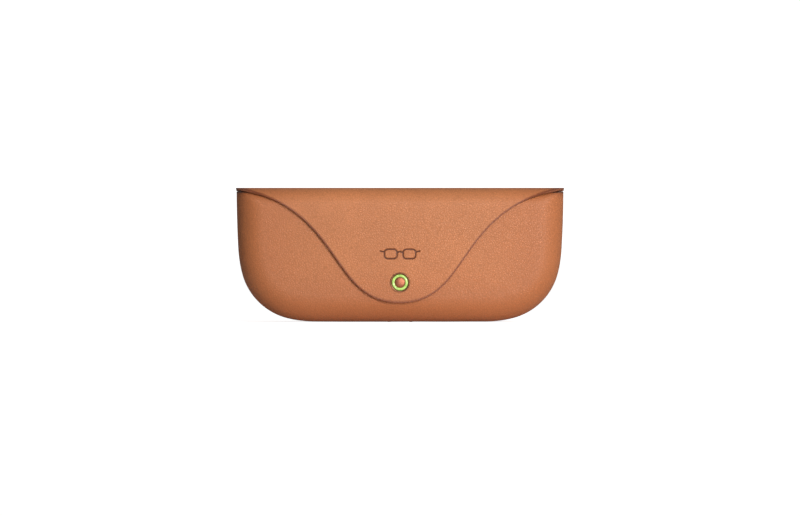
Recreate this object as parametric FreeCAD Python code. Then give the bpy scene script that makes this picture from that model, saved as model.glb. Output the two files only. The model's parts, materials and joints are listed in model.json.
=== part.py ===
import FreeCAD, Part
import math
import os

# Charging case for a pair of smart glasses.
# A rigid tub is wrapped in leather outside and soft lining inside.  One leather flap grows out of the back,
# runs flat over the mouth, bends down over the front and ends in a rounded tongue held by a magnetic snap
# whose clear ring lets the charge light through.  A deck screwed over the batteries and the main board makes
# the cavity floor, and a post on it carries the sprung contacts that charge the glasses.
#
# Millimetres.  +X is to the right as seen from the front, +Y to the back, +Z up.
# The origin is under the middle of the closed case, on the surface that it stands on.

V = FreeCAD.Vector

# ---------------------------------------------------------------- driving dimensions
body_width = 164.0          # across the covers at the mouth
body_depth = 54.0           # front cover face to back cover face
total_height = 67.3         # standing surface to the top of the closed flap
foot_drop = 0.3             # how far the two port nubs stand below the covers

cover_t = 1.2               # leather wrap
tub_t = 1.8                 # moulded tub
lining_t = 0.8              # soft lining
rim_trim_t = 0.8            # moulded trim that caps the three layers at the mouth

edge_round = 13.0           # roll between the front or back face and the outline
corner_arcs = [(58.0, 14.0), (31.0, 74.5), (60.0, 86.7), (550.0, 90.0)]    # radius, direction at its end

flap_leather_t = 0.9
flap_lining_t = 0.6
flap_gap = 0.3              # air between the closed flap and the body
flap_overhang = 0.1         # how far the flap stands out past each end of the body
bend_radius = 9.0           # outside of the bend over the front edge
tongue_tip_height = 9.5     # lowest point of the tongue above the covers' bottom
tip_handle = 36.0           # how broad the tongue's round end is
shoulder_handle = 56.0      # how long the tongue's edge takes to sweep out to the ends
shoulder_slope = 11.0       # degrees, where the edge reaches the ends

lid_board_t = 1.0           # stiffener inside the lid
tongue_board_t = 0.35       # stiffener inside the tongue
board_margin = 5.0          # stiffener edge to flap edge

front_dip = 7.0             # how far the front rim is scooped below the mouth
dip_flat = 42.0             # half length of the scoop's flat bottom
dip_end = 66.0              # half length of the whole scoop

light_height = 19.7         # middle of the light ring above the covers' bottom
ring_outer_r = 4.1          # clear ring in the tongue
ring_inner_r = 2.7
bezel_r = 5.0               # dark metal bezel round the clear ring
snap_proud = 0.8            # cap's crown above the tongue
ring_proud = 0.35
guide_outer_r = 4.8         # clear light guide in the body
magnet_r = 2.7
magnet_t = 2.4
pod_r = 6.6                 # housing of the light board
pod_wall = 0.9
pod_depth = 5.0             # how deep the housing is behind the front cover
pod_cap_t = 0.8

button_height = 24.0        # pairing button on the back, above the covers' bottom
button_r = 3.5
button_travel = 0.5
button_pod_r = 6.6
button_pod_depth = 5.4      # how deep its housing is behind the back cover

bay_height = 6.3            # free height between tub floor and deck
deck_t = 1.4
board_t = 1.0
board_gap = 0.6             # main board's top to the deck
board_width = 30.0
board_depth = 26.0
battery_length = 36.0
battery_depth = 32.0
battery_t = 4.3
battery_start = 17.5        # from the middle to each battery's near end
foam_t = 1.3

post_height = 34.5          # dock post above the deck
post_foot = 13.0            # half width at the deck
post_head = 8.0             # half width and radius at its top
post_thickness = 9.0
post_wall = 1.4
post_edge = 0.8             # rounding of the post's outer edges
post_front = -4.5           # y of the face that the glasses' bridge leans on
pin_spread = 2.6            # each contact pin's distance from the middle
pin_below_top = 6.5
pin_r = 0.5
pin_proud = 1.4
barrel_r = 0.85
barrel_length = 5.0

usb_opening = (8.34, 2.56)  # inside of the receptacle's shell
usb_wall = 0.3
usb_setback = 0.6           # receptacle's mouth above the covers' bottom
port_slot = (9.2, 3.5)      # opening in the port bezel
port_bezel = (15.0, 8.0)
nub_x = 5.5
nub = (1.5, 5.0)

ribbon_w = 3.0
ribbon_t = 0.2
screw_r = 0.8
screw_head_r = 1.5
screw_head_t = 0.5
clearance = 0.05            # fit of loose parts in their holes
slip = 0.15                 # fit of the deck in the tub

# ---------------------------------------------------------------- places that follow
flap_t = flap_leather_t + flap_lining_t
half_width = body_width / 2
half_flap = half_width + flap_overhang
wall = cover_t + tub_t + lining_t
total_depth = body_depth + flap_gap + flap_t + snap_proud
y_back = total_depth / 2
y_front = y_back - body_depth
y_mid = (y_front + y_back) / 2
y_tongue = y_front - flap_gap - flap_t      # outer face of the closed tongue
z_base = foot_drop                          # bottom of the covers
z_rim = total_height - flap_t - flap_gap    # top of the mouth trim
y_bend = y_tongue + bend_radius             # middle of the flap's bend
z_bend = total_height - bend_radius
shoulder_r = bend_radius - flap_t - flap_gap
z_tip = z_base + tongue_tip_height
z_light = z_base + light_height
z_button = z_base + button_height
z_floor = z_base + cover_t + tub_t          # tub's inner floor
z_deck = z_floor + bay_height
z_board = z_deck - board_gap - board_t
half_hinge = half_width - edge_round
hinge_y = y_back - flap_t / 2
hinge_z = total_height - flap_t / 2
fold_y = y_bend + flap_t / 2
far = 2 * body_width          # beyond everything


# ---------------------------------------------------------------- small helpers
def box(x0, x1, y0, y1, z0, z1):
    return Part.makeBox(x1 - x0, y1 - y0, z1 - z0, V(x0, y0, z0))


def rod_y(r, y0, y1, x=0.0, z=0.0):
    return Part.makeCylinder(r, y1 - y0, V(x, y0, z), V(0, 1, 0))


def tube_y(r_out, r_in, y0, y1, x=0.0, z=0.0):
    return rod_y(r_out, y0, y1, x, z).cut(rod_y(r_in, y0, y1, x, z))


def rod_z(r, z0, z1, x=0.0, y=0.0):
    return Part.makeCylinder(r, z1 - z0, V(x, y, z0), V(0, 0, 1))


def rod_x(r, half_length, y, z):
    return Part.makeCylinder(r, 2 * half_length, V(-half_length, y, z), V(1, 0, 0))


def both_sides(shape):
    """The shape and its mirror image across the middle."""
    return [shape, shape.mirror(V(0, 0, 0), V(1, 0, 0))]


def closed_face(points):
    return Part.Face(Part.makePolygon(points + [points[0]]))


def slot_prism(length, width, z0, z1, y):
    """Upright prism with a slot-shaped section along X."""
    r = width / 2
    flat = length / 2 - r
    middle = box(-flat, flat, y - r, y + r, z0, z1)
    return middle.fuse([rod_z(r, z0, z1, -flat, y), rod_z(r, z0, z1, flat, y)]).removeSplitter()


def rounded_slab(x0, x1, y0, y1, z0, z1, r):
    """Slab whose upright edges are rounded."""
    slab = box(x0, x1, y0, y1, z0, z1)
    upright = [e for e in slab.Edges if abs(e.BoundBox.ZLength - (z1 - z0)) < 1e-6]
    return slab.makeFillet(r, upright)


def save(name, *shapes):
    pieces = [s for shape in shapes for s in shape.Solids]
    for s in pieces:
        if not s.isValid() or s.Volume <= 0:
            raise ValueError(name + " has a bad solid")
    group = pieces[0] if len(pieces) == 1 else Part.makeCompound(pieces)
    group.exportStep("parts/" + name + ".step")
    print(name, len(pieces), round(sum(s.Volume for s in pieces), 1))


# ---------------------------------------------------------------- the body's form
def outline_edges(inset):
    """Right half of the front outline, from the bottom middle upwards, as edges and the last point."""
    reach = 0.0
    sin_before = 0.0
    for radius, turn in corner_arcs:
        sin_now = math.sin(math.radians(turn))
        reach += radius * (sin_now - sin_before)
        sin_before = sin_now
    x = half_width - reach
    z = z_base + inset
    edges = [Part.makeLine(V(0, 0, z), V(x, 0, z))]
    start = 0.0
    for radius, turn in corner_arcs:
        r = radius - inset
        end = math.radians(turn)

        def at(angle):
            return V(x + r * (math.sin(angle) - math.sin(start)), 0,
                     z + r * (math.cos(start) - math.cos(angle)))

        last = at(end)
        edges.append(Part.Arc(at(start), at((start + end) / 2), last).toShape())
        x, z, start = last.x, last.z, end
    return edges, V(x, 0, z)


def blank(inset, lip=0.0):
    """Solid form of the body, taken in by inset all round and open upwards.
    Its top front edge is rounded to lie under the flap's bend, and stops at the bend's middle plus lip."""
    edges, last = outline_edges(inset)
    top = max(last.z, total_height) + edge_round
    edges.append(Part.makeLine(last, V(last.x, 0, top)))
    left = [e.mirror(V(0, 0, 0), V(1, 0, 0)) for e in edges]
    roof = Part.makeLine(V(last.x, 0, top), V(-last.x, 0, top))
    wire = Part.Wire(Part.__sortEdges__(edges + left + [roof]))
    y0 = y_front + inset
    y1 = y_back - inset
    prism = Part.Face(wire).extrude(V(0, y1 - y0, 0))
    prism.translate(V(0, y0, 0))
    rolled = [e for e in prism.Edges
              if e.BoundBox.YLength < 1e-6 and e.BoundBox.ZMin < top - 1e-3]
    form = prism.makeFillet(edge_round - inset, rolled)
    r = shoulder_r - inset
    start = V(-far, y0, z_bend)
    quarter = V(-far, y_bend - r * math.sqrt(0.5), z_bend + r * math.sqrt(0.5))
    crown = V(-far, y_bend + lip, z_bend + r)
    edge = V(-far, y_bend, z_bend + r)
    profile = [
        Part.Arc(start, quarter, edge).toShape(),
        Part.makeLine(start, V(-far, y0, -far)),
        Part.makeLine(V(-far, y0, -far), V(-far, far, -far)),
        Part.makeLine(V(-far, far, -far), V(-far, far, far)),
        Part.makeLine(V(-far, far, far), V(-far, crown.y, far)),
        Part.makeLine(V(-far, crown.y, far), crown),
    ]
    if lip > 0:
        profile.append(Part.makeLine(crown, edge))
    side = Part.Face(Part.Wire(Part.__sortEdges__(profile))).extrude(V(2 * far, 0, 0))
    return form.common(side)


def above(drop):
    """Everything over the rim line lowered by drop.  The rim is scooped along the front."""
    z = z_rim - drop
    low = z - front_dip
    pull = (dip_end - dip_flat) / 2

    def sweep(side):
        curve = Part.BezierCurve()
        curve.setPoles([V(side * dip_end, 0, z), V(side * (dip_end - pull), 0, z),
                        V(side * (dip_flat + pull), 0, low), V(side * dip_flat, 0, low)])
        return curve.toShape()

    scoop = Part.Wire(Part.__sortEdges__([
        sweep(-1), sweep(1),
        Part.makeLine(V(-dip_flat, 0, low), V(dip_flat, 0, low)),
        Part.makeLine(V(dip_end, 0, z), V(dip_end, 0, far)),
        Part.makeLine(V(dip_end, 0, far), V(-dip_end, 0, far)),
        Part.makeLine(V(-dip_end, 0, far), V(-dip_end, 0, z)),
    ]))
    reach = shoulder_r + lining_t + 2 * flap_t
    front = Part.Face(scoop).extrude(V(0, reach + cover_t, 0))
    front.translate(V(0, y_front - cover_t, 0))
    return box(-far, far, -far, far, z, far).fuse(front)


outer_form = blank(0.0)
tub_form = blank(cover_t)
lining_form = blank(cover_t + tub_t)
cavity_form = blank(wall, lining_t)
over_layers = above(rim_trim_t)
over_rim = above(0.0)


# ---------------------------------------------------------------- pieces let into the walls
def light_unit():
    """Light ring, snap magnet and their board, in a housing behind the front cover."""
    y_skin = y_front
    y_shell = y_front + cover_t
    y_end = y_shell + pod_depth
    y_guide = y_shell + 2.4
    board_y0 = y_guide + 0.6
    board_y1 = board_y0 + 0.8
    inner = pod_r - pod_wall
    pod = rod_y(pod_r, y_shell, y_end, z=z_light)
    pod = pod.cut([rod_y(guide_outer_r + clearance, y_shell, y_guide, z=z_light),
                   rod_y(inner, y_guide, y_end, z=z_light)])
    tab_z0 = z_light - math.sqrt(inner ** 2 - (ribbon_w / 2) ** 2) + clearance
    tab_z1 = z_light - guide_outer_r - 2 * clearance
    slot_y0 = y_shell + tub_t - ribbon_t
    half_slot = ribbon_w / 2 + clearance
    pod = pod.cut(box(-half_slot, half_slot, slot_y0 - clearance, y_guide, z_light - far, tab_z1 + clearance))
    save("light_housing", pod)
    save("light_housing_cap", rod_y(pod_r, y_end, y_end + pod_cap_t, z=z_light))
    save("light_guide", tube_y(guide_outer_r, magnet_r + clearance, y_skin, y_guide, z=z_light))
    save("snap_magnet", rod_y(magnet_r, y_skin + 0.3, y_skin + 0.3 + magnet_t, z=z_light))
    save("snap_catch", rod_y(magnet_r, y_skin, y_skin + 0.3, z=z_light))
    save("light_board", rod_y(inner - clearance, board_y0, board_y1, z=z_light))
    ring_r = (guide_outer_r + magnet_r) / 2
    lamps = []
    for n in range(6):
        a = math.radians(60 * n + 30)
        x = ring_r * math.cos(a)
        z = z_light + ring_r * math.sin(a)
        lamps.append(box(x - 0.5, x + 0.5, board_y0 - 0.5, board_y0, z - 0.5, z + 0.5))
    save("light_diodes", *lamps)
    ribbon = box(-ribbon_w / 2, ribbon_w / 2, slot_y0, slot_y0 + ribbon_t, z_board + board_t, tab_z1)
    shelf = box(-ribbon_w / 2, ribbon_w / 2, slot_y0, y_mid - board_depth / 2 + 3.0,
                z_board + board_t, z_board + board_t + ribbon_t)
    tab = box(-ribbon_w / 2, ribbon_w / 2, slot_y0 + ribbon_t, board_y0, tab_z0, tab_z1)
    save("light_ribbon", ribbon.fuse([shelf, tab]).removeSplitter())
    window = rod_y(guide_outer_r + clearance, y_front - 1, y_shell, z=z_light)
    seat = rod_y(pod_r, y_shell, y_end, z=z_light)
    groove = box(-half_slot, half_slot, slot_y0 - clearance, y_end, z_board + board_t - clearance, z_light)
    return window, seat, groove


def button_unit():
    """Pairing button with its housing and switch, behind the back cover."""
    y_shell = y_back - cover_t
    y_end = y_shell - button_pod_depth
    inner = button_pod_r - pod_wall
    flange_t = 0.6
    flange_y = y_shell - 0.9
    cap = rod_y(button_r, flange_y, y_back - 0.1, z=z_button)
    switch_y1 = flange_y - flange_t - button_travel - 0.2
    crown = [e for e in cap.Edges if e.BoundBox.YMin > y_back - 0.1 - 1e-6]
    cap = cap.makeFillet(0.35, crown)
    flange = rod_y(button_r + 0.8, flange_y - flange_t, flange_y, z=z_button)
    stem = rod_y(1.0, switch_y1 + button_travel + clearance, flange_y - flange_t, z=z_button)
    save("pairing_button", cap.fuse([flange, stem]).removeSplitter())
    pod = rod_y(button_pod_r, y_end, y_shell, z=z_button)
    pod = pod.fuse(rod_y(button_pod_r + 1.8, y_back - wall - 0.8, y_back - wall, z=z_button))
    pod = pod.cut([rod_y(inner, y_end + 0.8, flange_y, z=z_button),
                   rod_y(button_r + clearance, flange_y, y_shell, z=z_button)])
    board_y1 = y_end + 0.8 + 0.8
    slot_y1 = y_shell - tub_t + ribbon_t
    half_slot = ribbon_w / 2 + clearance
    channel = box(-half_slot, half_slot, y_shell - tub_t - lining_t, slot_y1 + clearance,
                  z_button - far, z_button - inner + 1.6)
    save("button_housing", pod.cut(channel))
    save("button_bezel", tube_y(button_r + 1.0, button_r + clearance, y_shell, y_back, z=z_button))
    save("button_board", rod_y(inner - clearance, y_end + 0.8, board_y1, z=z_button))
    save("button_switch", box(-2.0, 2.0, board_y1, switch_y1, z_button - 2.0, z_button + 2.0))
    z_sensor = z_rim - rim_trim_t - 5.0
    z_tab = z_button - inner + 1.0
    ribbon = box(-ribbon_w / 2, ribbon_w / 2, slot_y1 - ribbon_t, slot_y1, z_board + board_t, z_tab)
    shelf = box(-ribbon_w / 2, ribbon_w / 2, y_mid + board_depth / 2 - 3.0, slot_y1,
                z_board + board_t, z_board + board_t + ribbon_t)
    tab = box(-ribbon_w / 2, ribbon_w / 2, board_y1, slot_y1 - ribbon_t, z_tab - 0.4, z_tab)
    save("button_ribbon", ribbon.fuse([shelf, tab]).removeSplitter())
    sensor_y1 = y_shell - tub_t + 0.7
    sensor = box(-1.5, 1.5, y_shell - tub_t, sensor_y1, z_sensor - 1.0, z_sensor + 1.0)
    save("lid_sensor", sensor)
    window = rod_y(button_r + 1.0, y_shell, y_back + 1, z=z_button)
    seat = rod_y(button_pod_r, y_end, y_shell, z=z_button)
    groove = box(-half_slot, half_slot, y_end, slot_y1 + clearance, z_board + board_t - clearance, z_button)
    return window, seat, [groove, sensor]


def port_unit():
    """Charging socket in the bottom, with its bezel and the two nubs under it."""
    bezel = slot_prism(port_bezel[0], port_bezel[1], z_base, z_floor, y_mid)
    bezel = bezel.fuse([box(s * nub_x - nub[0] / 2, s * nub_x + nub[0] / 2,
                            y_mid - nub[1] / 2, y_mid + nub[1] / 2,
                            z_base - foot_drop, z_base + 0.5) for s in (-1, 1)]).removeSplitter()
    mouth = slot_prism(port_slot[0], port_slot[1], z_base - foot_drop - 1, z_base + usb_setback, y_mid)
    length, width = usb_opening
    shell_size = (length + 2 * usb_wall, width + 2 * usb_wall)
    z_mouth = z_base + usb_setback
    seat = slot_prism(shell_size[0] + 2 * clearance, shell_size[1] + 2 * clearance,
                      z_mouth - 0.01, far, y_mid)
    save("port_bezel", bezel.cut([mouth, seat]))
    shell = slot_prism(shell_size[0], shell_size[1], z_mouth, z_board, y_mid)
    save("socket_shell", shell.cut(slot_prism(length, width, z_mouth, z_board, y_mid)))
    blade_w, blade_t = 6.7, 0.7
    z_blade = z_mouth + 0.7
    z_block = z_board - 1.6
    block = slot_prism(length, width, z_block, z_board, y_mid)
    blade = box(-blade_w / 2, blade_w / 2, y_mid - blade_t / 2, y_mid + blade_t / 2, z_blade, z_block)
    save("socket_blade", block.fuse(blade).removeSplitter())
    pitch, pad_w, pad_t, pads = 0.5, 0.26, 0.06, []
    for n in range(12):
        x = (n - 5.5) * pitch
        for side in (-1, 1):
            y = y_mid + side * (blade_t + pad_t) / 2
            pads.append(box(x - pad_w / 2, x + pad_w / 2, y - pad_t / 2, y + pad_t / 2,
                            z_blade + 0.5, z_block))
    save("socket_contacts", *pads)
    return slot_prism(port_bezel[0], port_bezel[1], z_base - 1, z_floor + 1, y_mid)


# ---------------------------------------------------------------- body shells
def body_shells(windows, seats, grooves, port_hole):
    """Covers, tub and trim.  Along the back the leather rises past the trim, up to the flap's hinge."""
    rise = box(-half_hinge, half_hinge, y_back - cover_t, far, -far, far)
    above_cover = over_layers.cut(rise).fuse(over_rim)
    cover = outer_form.cut([tub_form, above_cover, port_hole] + windows)
    front_half = box(-far, far, -far, y_mid, -far, far)
    back_half = box(-far, far, y_mid, far, -far, far)
    save("front_cover", cover.common(front_half))
    save("back_cover", cover.common(back_half))
    bosses = [rod_z(2.2, z_floor - 0.5, z_deck, x, y) for x, y in deck_screw_places()]
    bosses += [rod_z(2.0, z_floor - 0.5, z_board, x, y) for x, y in board_screw_places()]
    pilots = [rod_z(screw_r, z_deck - 5.0, z_deck + 1, x, y) for x, y in deck_screw_places()]
    pilots += [rod_z(screw_r, z_board - 3.5, z_board + 1, x, y) for x, y in board_screw_places()]
    tub = tub_form.cut([lining_form, over_layers])
    tub = tub.fuse([b.common(tub_form) for b in bosses]).removeSplitter()
    save("tub_shell", tub.cut(seats + grooves + [port_hole] + pilots))
    trim = outer_form.cut([cavity_form, over_rim, rise]).common(over_layers)
    save("mouth_trim", trim)


def deck_screw_places():
    x = battery_start + battery_length + 3.0
    return [(sx * x, y_mid + sy * 11.0) for sx in (-1, 1) for sy in (-1, 1)]


def board_screw_places():
    x = board_width / 2 - 3.0
    y = board_depth / 2 - 3.0
    return [(-x, y_mid - y), (x, y_mid + y), (x, y_mid - y), (-x, y_mid + y)]


def deck_and_lining(seats):
    post_hole = box(-post_foot, post_foot, post_front, post_front + post_thickness, z_deck + deck_t, far)
    form = blank(cover_t + tub_t + slip)
    deck = form.common(box(-far, far, -far, far, z_deck, z_deck + deck_t))
    heads = [rod_z(screw_head_r + clearance, z_deck + deck_t - screw_head_t, far, x, y)
             for x, y in deck_screw_places()]
    shanks = [rod_z(screw_r + clearance, 0, far, x, y) for x, y in deck_screw_places()]
    dock_shanks = [rod_z(screw_r + clearance, 0, far, x, y) for x, y in dock_screw_places()]
    cable_slot = box(-ribbon_w / 2 - 0.5, ribbon_w / 2 + 0.5,
                     dock_ribbon_y() - 0.5, dock_ribbon_y() + 0.7, 0, far)
    save("deck", deck.cut(heads + shanks + dock_shanks + [cable_slot]))
    z_top = z_deck + deck_t
    soft = lining_form.common(box(-far, far, -far, far, z_top, far))
    soft = soft.cut([cavity_form.common(box(-far, far, -far, far, z_top + lining_t, far)), over_layers])
    save("cavity_lining", soft.cut(seats + [post_hole]))
    screws = []
    for x, y in deck_screw_places():
        head = rod_z(screw_head_r, z_top - screw_head_t, z_top, x, y)
        shank = rod_z(screw_r - clearance, z_deck - 4.5, z_top - screw_head_t, x, y)
        screws.append(head.fuse(shank).removeSplitter())
    save("deck_screws", *screws)


# ---------------------------------------------------------------- electronics bay
def bay():
    z_top = z_board + board_t
    board = box(-board_width / 2, board_width / 2,
                y_mid - board_depth / 2, y_mid + board_depth / 2, z_board, z_top)
    save("main_board", board.cut([rod_z(screw_r + clearance, 0, far, x, y) for x, y in board_screw_places()]))
    screws = []
    for x, y in board_screw_places():
        head = rod_z(screw_head_r, z_top, z_top + screw_head_t - 0.1, x, y)
        screws.append(head.fuse(rod_z(screw_r - clearance, z_board - 3.0, z_top, x, y)).removeSplitter())
    save("board_screws", *screws)
    chip_y = y_mid + 7.0
    chips = [box(-2.5, 2.5, chip_y - 2.5, chip_y + 2.5, z_board - 0.9, z_board),
             box(3.6, 6.6, chip_y - 1.5, chip_y + 1.5, z_board - 0.7, z_board),
             box(-6.8, -3.8, chip_y - 1.5, chip_y + 1.5, z_board - 0.7, z_board),
             box(-6.0, -2.0, y_mid - 9.0, y_mid - 5.0, z_board - 1.6, z_board),
             box(1.0, 5.0, y_mid - 8.0, y_mid - 6.0, z_board - 0.8, z_board)]
    save("board_chips", *chips)
    plug_x = board_width / 2 - 0.5
    plug = box(plug_x - 3.0, plug_x, y_mid - 2.5, y_mid + 2.5, z_board - 2.2, z_board)
    save("battery_connectors", *both_sides(plug))
    x1 = battery_start + battery_length
    z_cell = z_floor + foam_t
    z_lead = z_board - 1.1
    cell = rounded_slab(battery_start, x1, y_mid - battery_depth / 2, y_mid + battery_depth / 2,
                        z_cell, z_cell + battery_t, 1.5)
    for name, shape in zip(("battery_right", "battery_left"), both_sides(cell)):
        save(name, shape)
    leads = []
    for dy in (-1.0, 1.0):
        lead = Part.makeCylinder(0.45, battery_start - plug_x, V(plug_x, y_mid + dy, z_lead), V(1, 0, 0))
        leads += both_sides(lead)
    save("battery_leads", *leads)
    foam = box(battery_start + 1.0, battery_start + 23.0, y_mid - 11.0, y_mid + 11.0, z_floor, z_cell)
    save("battery_pads", *both_sides(foam))


# ---------------------------------------------------------------- dock for the glasses' bridge
def dock_screw_places():
    y = post_front + post_thickness / 2
    return [(s * (post_foot - 3.2), y) for s in (-1, 1)]


def dock_ribbon_y():
    return post_front + post_thickness - post_wall - 1.5


def post_form(inset, y0, y1):
    """Tapered post with a round head, seen from the front, taken in by inset."""
    z0 = z_deck + deck_t
    z_head = z0 + post_height - post_head
    foot = post_foot - inset
    r = post_head - inset
    face = closed_face([V(-foot, y0, z0), V(foot, y0, z0), V(r, y0, z_head), V(-r, y0, z_head)])
    body = face.extrude(V(0, y1 - y0, 0))
    return body.fuse(rod_y(r, y0, y1, z=z_head)).removeSplitter()


def soften(shape, y, radius):
    """Round the post's outline where it meets the plane at y, but not along its foot."""
    z_foot = z_deck + deck_t
    edges = [e for e in shape.Edges if e.BoundBox.YLength < 1e-6 and abs(e.BoundBox.YMin - y) < 1e-6
             and e.BoundBox.ZMax > z_foot + 1e-3]
    return shape.makeFillet(radius, edges)


def contact_pin(y_tip, y_collar, y_end, collar_r):
    """Round-tipped pin with a collar that stops it in its barrel, turned about the Y axis."""
    k = pin_r * math.sqrt(0.5)
    tip = Part.Arc(V(0, y_tip, 0), V(k, y_tip + pin_r - k, 0), V(pin_r, y_tip + pin_r, 0)).toShape()
    corners = [V(pin_r, y_tip + pin_r, 0), V(pin_r, y_collar, 0), V(collar_r, y_collar, 0),
               V(collar_r, y_end, 0), V(0, y_end, 0), V(0, y_tip, 0)]
    profile = Part.Wire([tip] + [Part.makeLine(a, b) for a, b in zip(corners, corners[1:])])
    return Part.Face(profile).revolve(V(0, 0, 0), V(0, 1, 0), 360)


def coil_spring(y0, y1, outer_r, wire_r=0.09, turns=5.5):
    """Coil about the Y axis between two seats, of a wire with a six-sided section."""
    steps = int(8 * turns)
    r = outer_r - wire_r
    rest = wire_r + 0.02
    rise = (y1 - y0 - 2 * rest) / steps
    points = []
    for n in range(steps + 1):
        a = 2 * math.pi * turns * n / steps
        points.append(V(r * math.cos(a), y0 + rest + rise * n, r * math.sin(a)))
    curve = Part.BSplineCurve()
    curve.interpolate(points)
    start = curve.value(curve.FirstParameter)
    across = V(1, 0, 0)
    upward = curve.tangent(curve.FirstParameter)[0].cross(across)
    corners = []
    for n in range(6):
        a = math.pi * n / 3
        corners.append(start + across * (wire_r * math.cos(a)) + upward * (wire_r * math.sin(a)))
    pipe = Part.BRepOffsetAPI.MakePipeShell(Part.Wire(curve.toShape()))
    pipe.setFrenetMode(True)
    pipe.add(Part.makePolygon(corners + [corners[0]]))
    pipe.build()
    pipe.makeSolid()
    return pipe.shape()


def dock():
    z0 = z_deck + deck_t
    z_pin = z0 + post_height - pin_below_top
    y_end = post_front + post_thickness
    face_t = post_wall
    hollow = post_form(post_wall, post_front + face_t, y_end - post_wall)
    shell = soften(post_form(0.0, post_front + face_t, y_end), y_end, post_edge).cut(hollow)
    floor = box(-post_foot + post_wall, post_foot - post_wall,
                post_front + face_t, y_end - post_wall, z0, z0 + 3.0)
    inside = post_form(post_wall, post_front + face_t, y_end - post_wall)
    shell = shell.fuse(floor.common(inside)).removeSplitter()
    ribbon_slot = box(-ribbon_w / 2 - 0.5, ribbon_w / 2 + 0.5, dock_ribbon_y() - 0.5, dock_ribbon_y() + 0.7,
                      z0 - 1, z0 + 4.0)
    holes = [rod_z(screw_r, z0 - 1, z0 + 3.0, x, y) for x, y in dock_screw_places()]
    save("dock_post", shell.cut(holes + [ribbon_slot]))
    pin_xs = (-pin_spread, pin_spread)
    face = soften(post_form(0.0, post_front, post_front + face_t), post_front, post_edge)
    save("dock_face", face.cut([rod_y(barrel_r + clearance, post_front - 1, post_front + face_t + 1, x, z_pin)
                                for x in pin_xs]))
    y_barrel = post_front
    y_stop = y_barrel + barrel_length
    neck = 0.6
    bore_r = pin_r + 0.15
    barrels = []
    for x in pin_xs:
        barrel = rod_y(barrel_r, y_barrel, y_stop, x, z_pin)
        barrels.append(barrel.cut([rod_y(pin_r + clearance, y_barrel, y_barrel + neck, x, z_pin),
                                   rod_y(bore_r, y_barrel + neck, y_stop - 0.4, x, z_pin)]))
    save("contact_barrels", *barrels)
    collar_t = 0.5
    for name, x in zip(("contact_pin_left", "contact_pin_right"), pin_xs):
        y_neck = y_barrel + neck
        pin = contact_pin(y_barrel - pin_proud, y_neck, y_neck + collar_t, bore_r - clearance)
        pin.translate(V(x, 0, z_pin))
        save(name, pin)
    y_spring = y_barrel + neck + collar_t
    for name, x in zip(("contact_spring_left", "contact_spring_right"), pin_xs):
        spring = coil_spring(y_spring, y_stop - 0.4, bore_r - clearance)
        spring.translate(V(x, 0, z_pin))
        save(name, spring)
    board_y1 = y_stop + 0.8
    save("dock_board", box(-4.4, 4.4, y_stop, board_y1, z_pin - 5.0, z_pin + 2.4))
    top = z_board + board_t
    ribbon_y = dock_ribbon_y()
    strap = box(-ribbon_w / 2, ribbon_w / 2, ribbon_y, ribbon_y + ribbon_t, top, z_pin - 3.0)
    if board_y1 < ribbon_y:
        strap = strap.fuse(box(-ribbon_w / 2, ribbon_w / 2, board_y1, ribbon_y, z_pin - 4.0, z_pin - 3.0))
    shelf = box(-ribbon_w / 2, ribbon_w / 2, ribbon_y - 3.0, ribbon_y, top, top + ribbon_t)
    save("dock_ribbon", strap.fuse(shelf).removeSplitter())
    z_magnet = z0 + 13.0
    y_magnet = post_front + face_t
    save("dock_magnets", *[rod_y(2.5, y_magnet, y_magnet + 2.0, s * 4.2, z_magnet) for s in (-1, 1)])
    screws = []
    for x, y in dock_screw_places():
        head = rod_z(screw_head_r, z_deck - 0.4, z_deck, x, y)
        screws.append(head.fuse(rod_z(screw_r - clearance, z_deck, z0 + 2.8, x, y)).removeSplitter())
    save("dock_screws", *screws)


# ---------------------------------------------------------------- flap
def plan_prism():
    """The closed flap's outline seen from above."""
    r = edge_round + flap_overhang
    return rounded_slab(-half_flap, half_flap, y_tongue, y_back, -far, far, r)


def tongue_edge(inset=0.0):
    """Prism of all that lies above the tongue's swept edge, seen from the front."""
    slope = math.radians(shoulder_slope)
    tip = z_tip + inset
    end_x, end_z = half_flap, total_height + inset
    past = 6.0
    out_x, out_z = end_x + past, end_z + past * math.tan(slope)
    top = out_z + past

    def sweep(side):
        curve = Part.BezierCurve()
        pull = V(side * (end_x - shoulder_handle * math.cos(slope)), 0,
                 end_z - shoulder_handle * math.sin(slope))
        curve.setPoles([V(0, 0, tip), V(side * tip_handle, 0, tip), pull, V(side * end_x, 0, end_z)])
        return [curve.toShape(), Part.makeLine(V(side * end_x, 0, end_z), V(side * out_x, 0, out_z)),
                Part.makeLine(V(side * out_x, 0, out_z), V(side * out_x, 0, top))]

    rim = sweep(-1) + sweep(1) + [Part.makeLine(V(-out_x, 0, top), V(out_x, 0, top))]
    prism = Part.Face(Part.Wire(Part.__sortEdges__(rim))).extrude(V(0, body_depth, 0))
    prism.translate(V(0, y_tongue - body_depth / 2, 0))
    return prism


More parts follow.
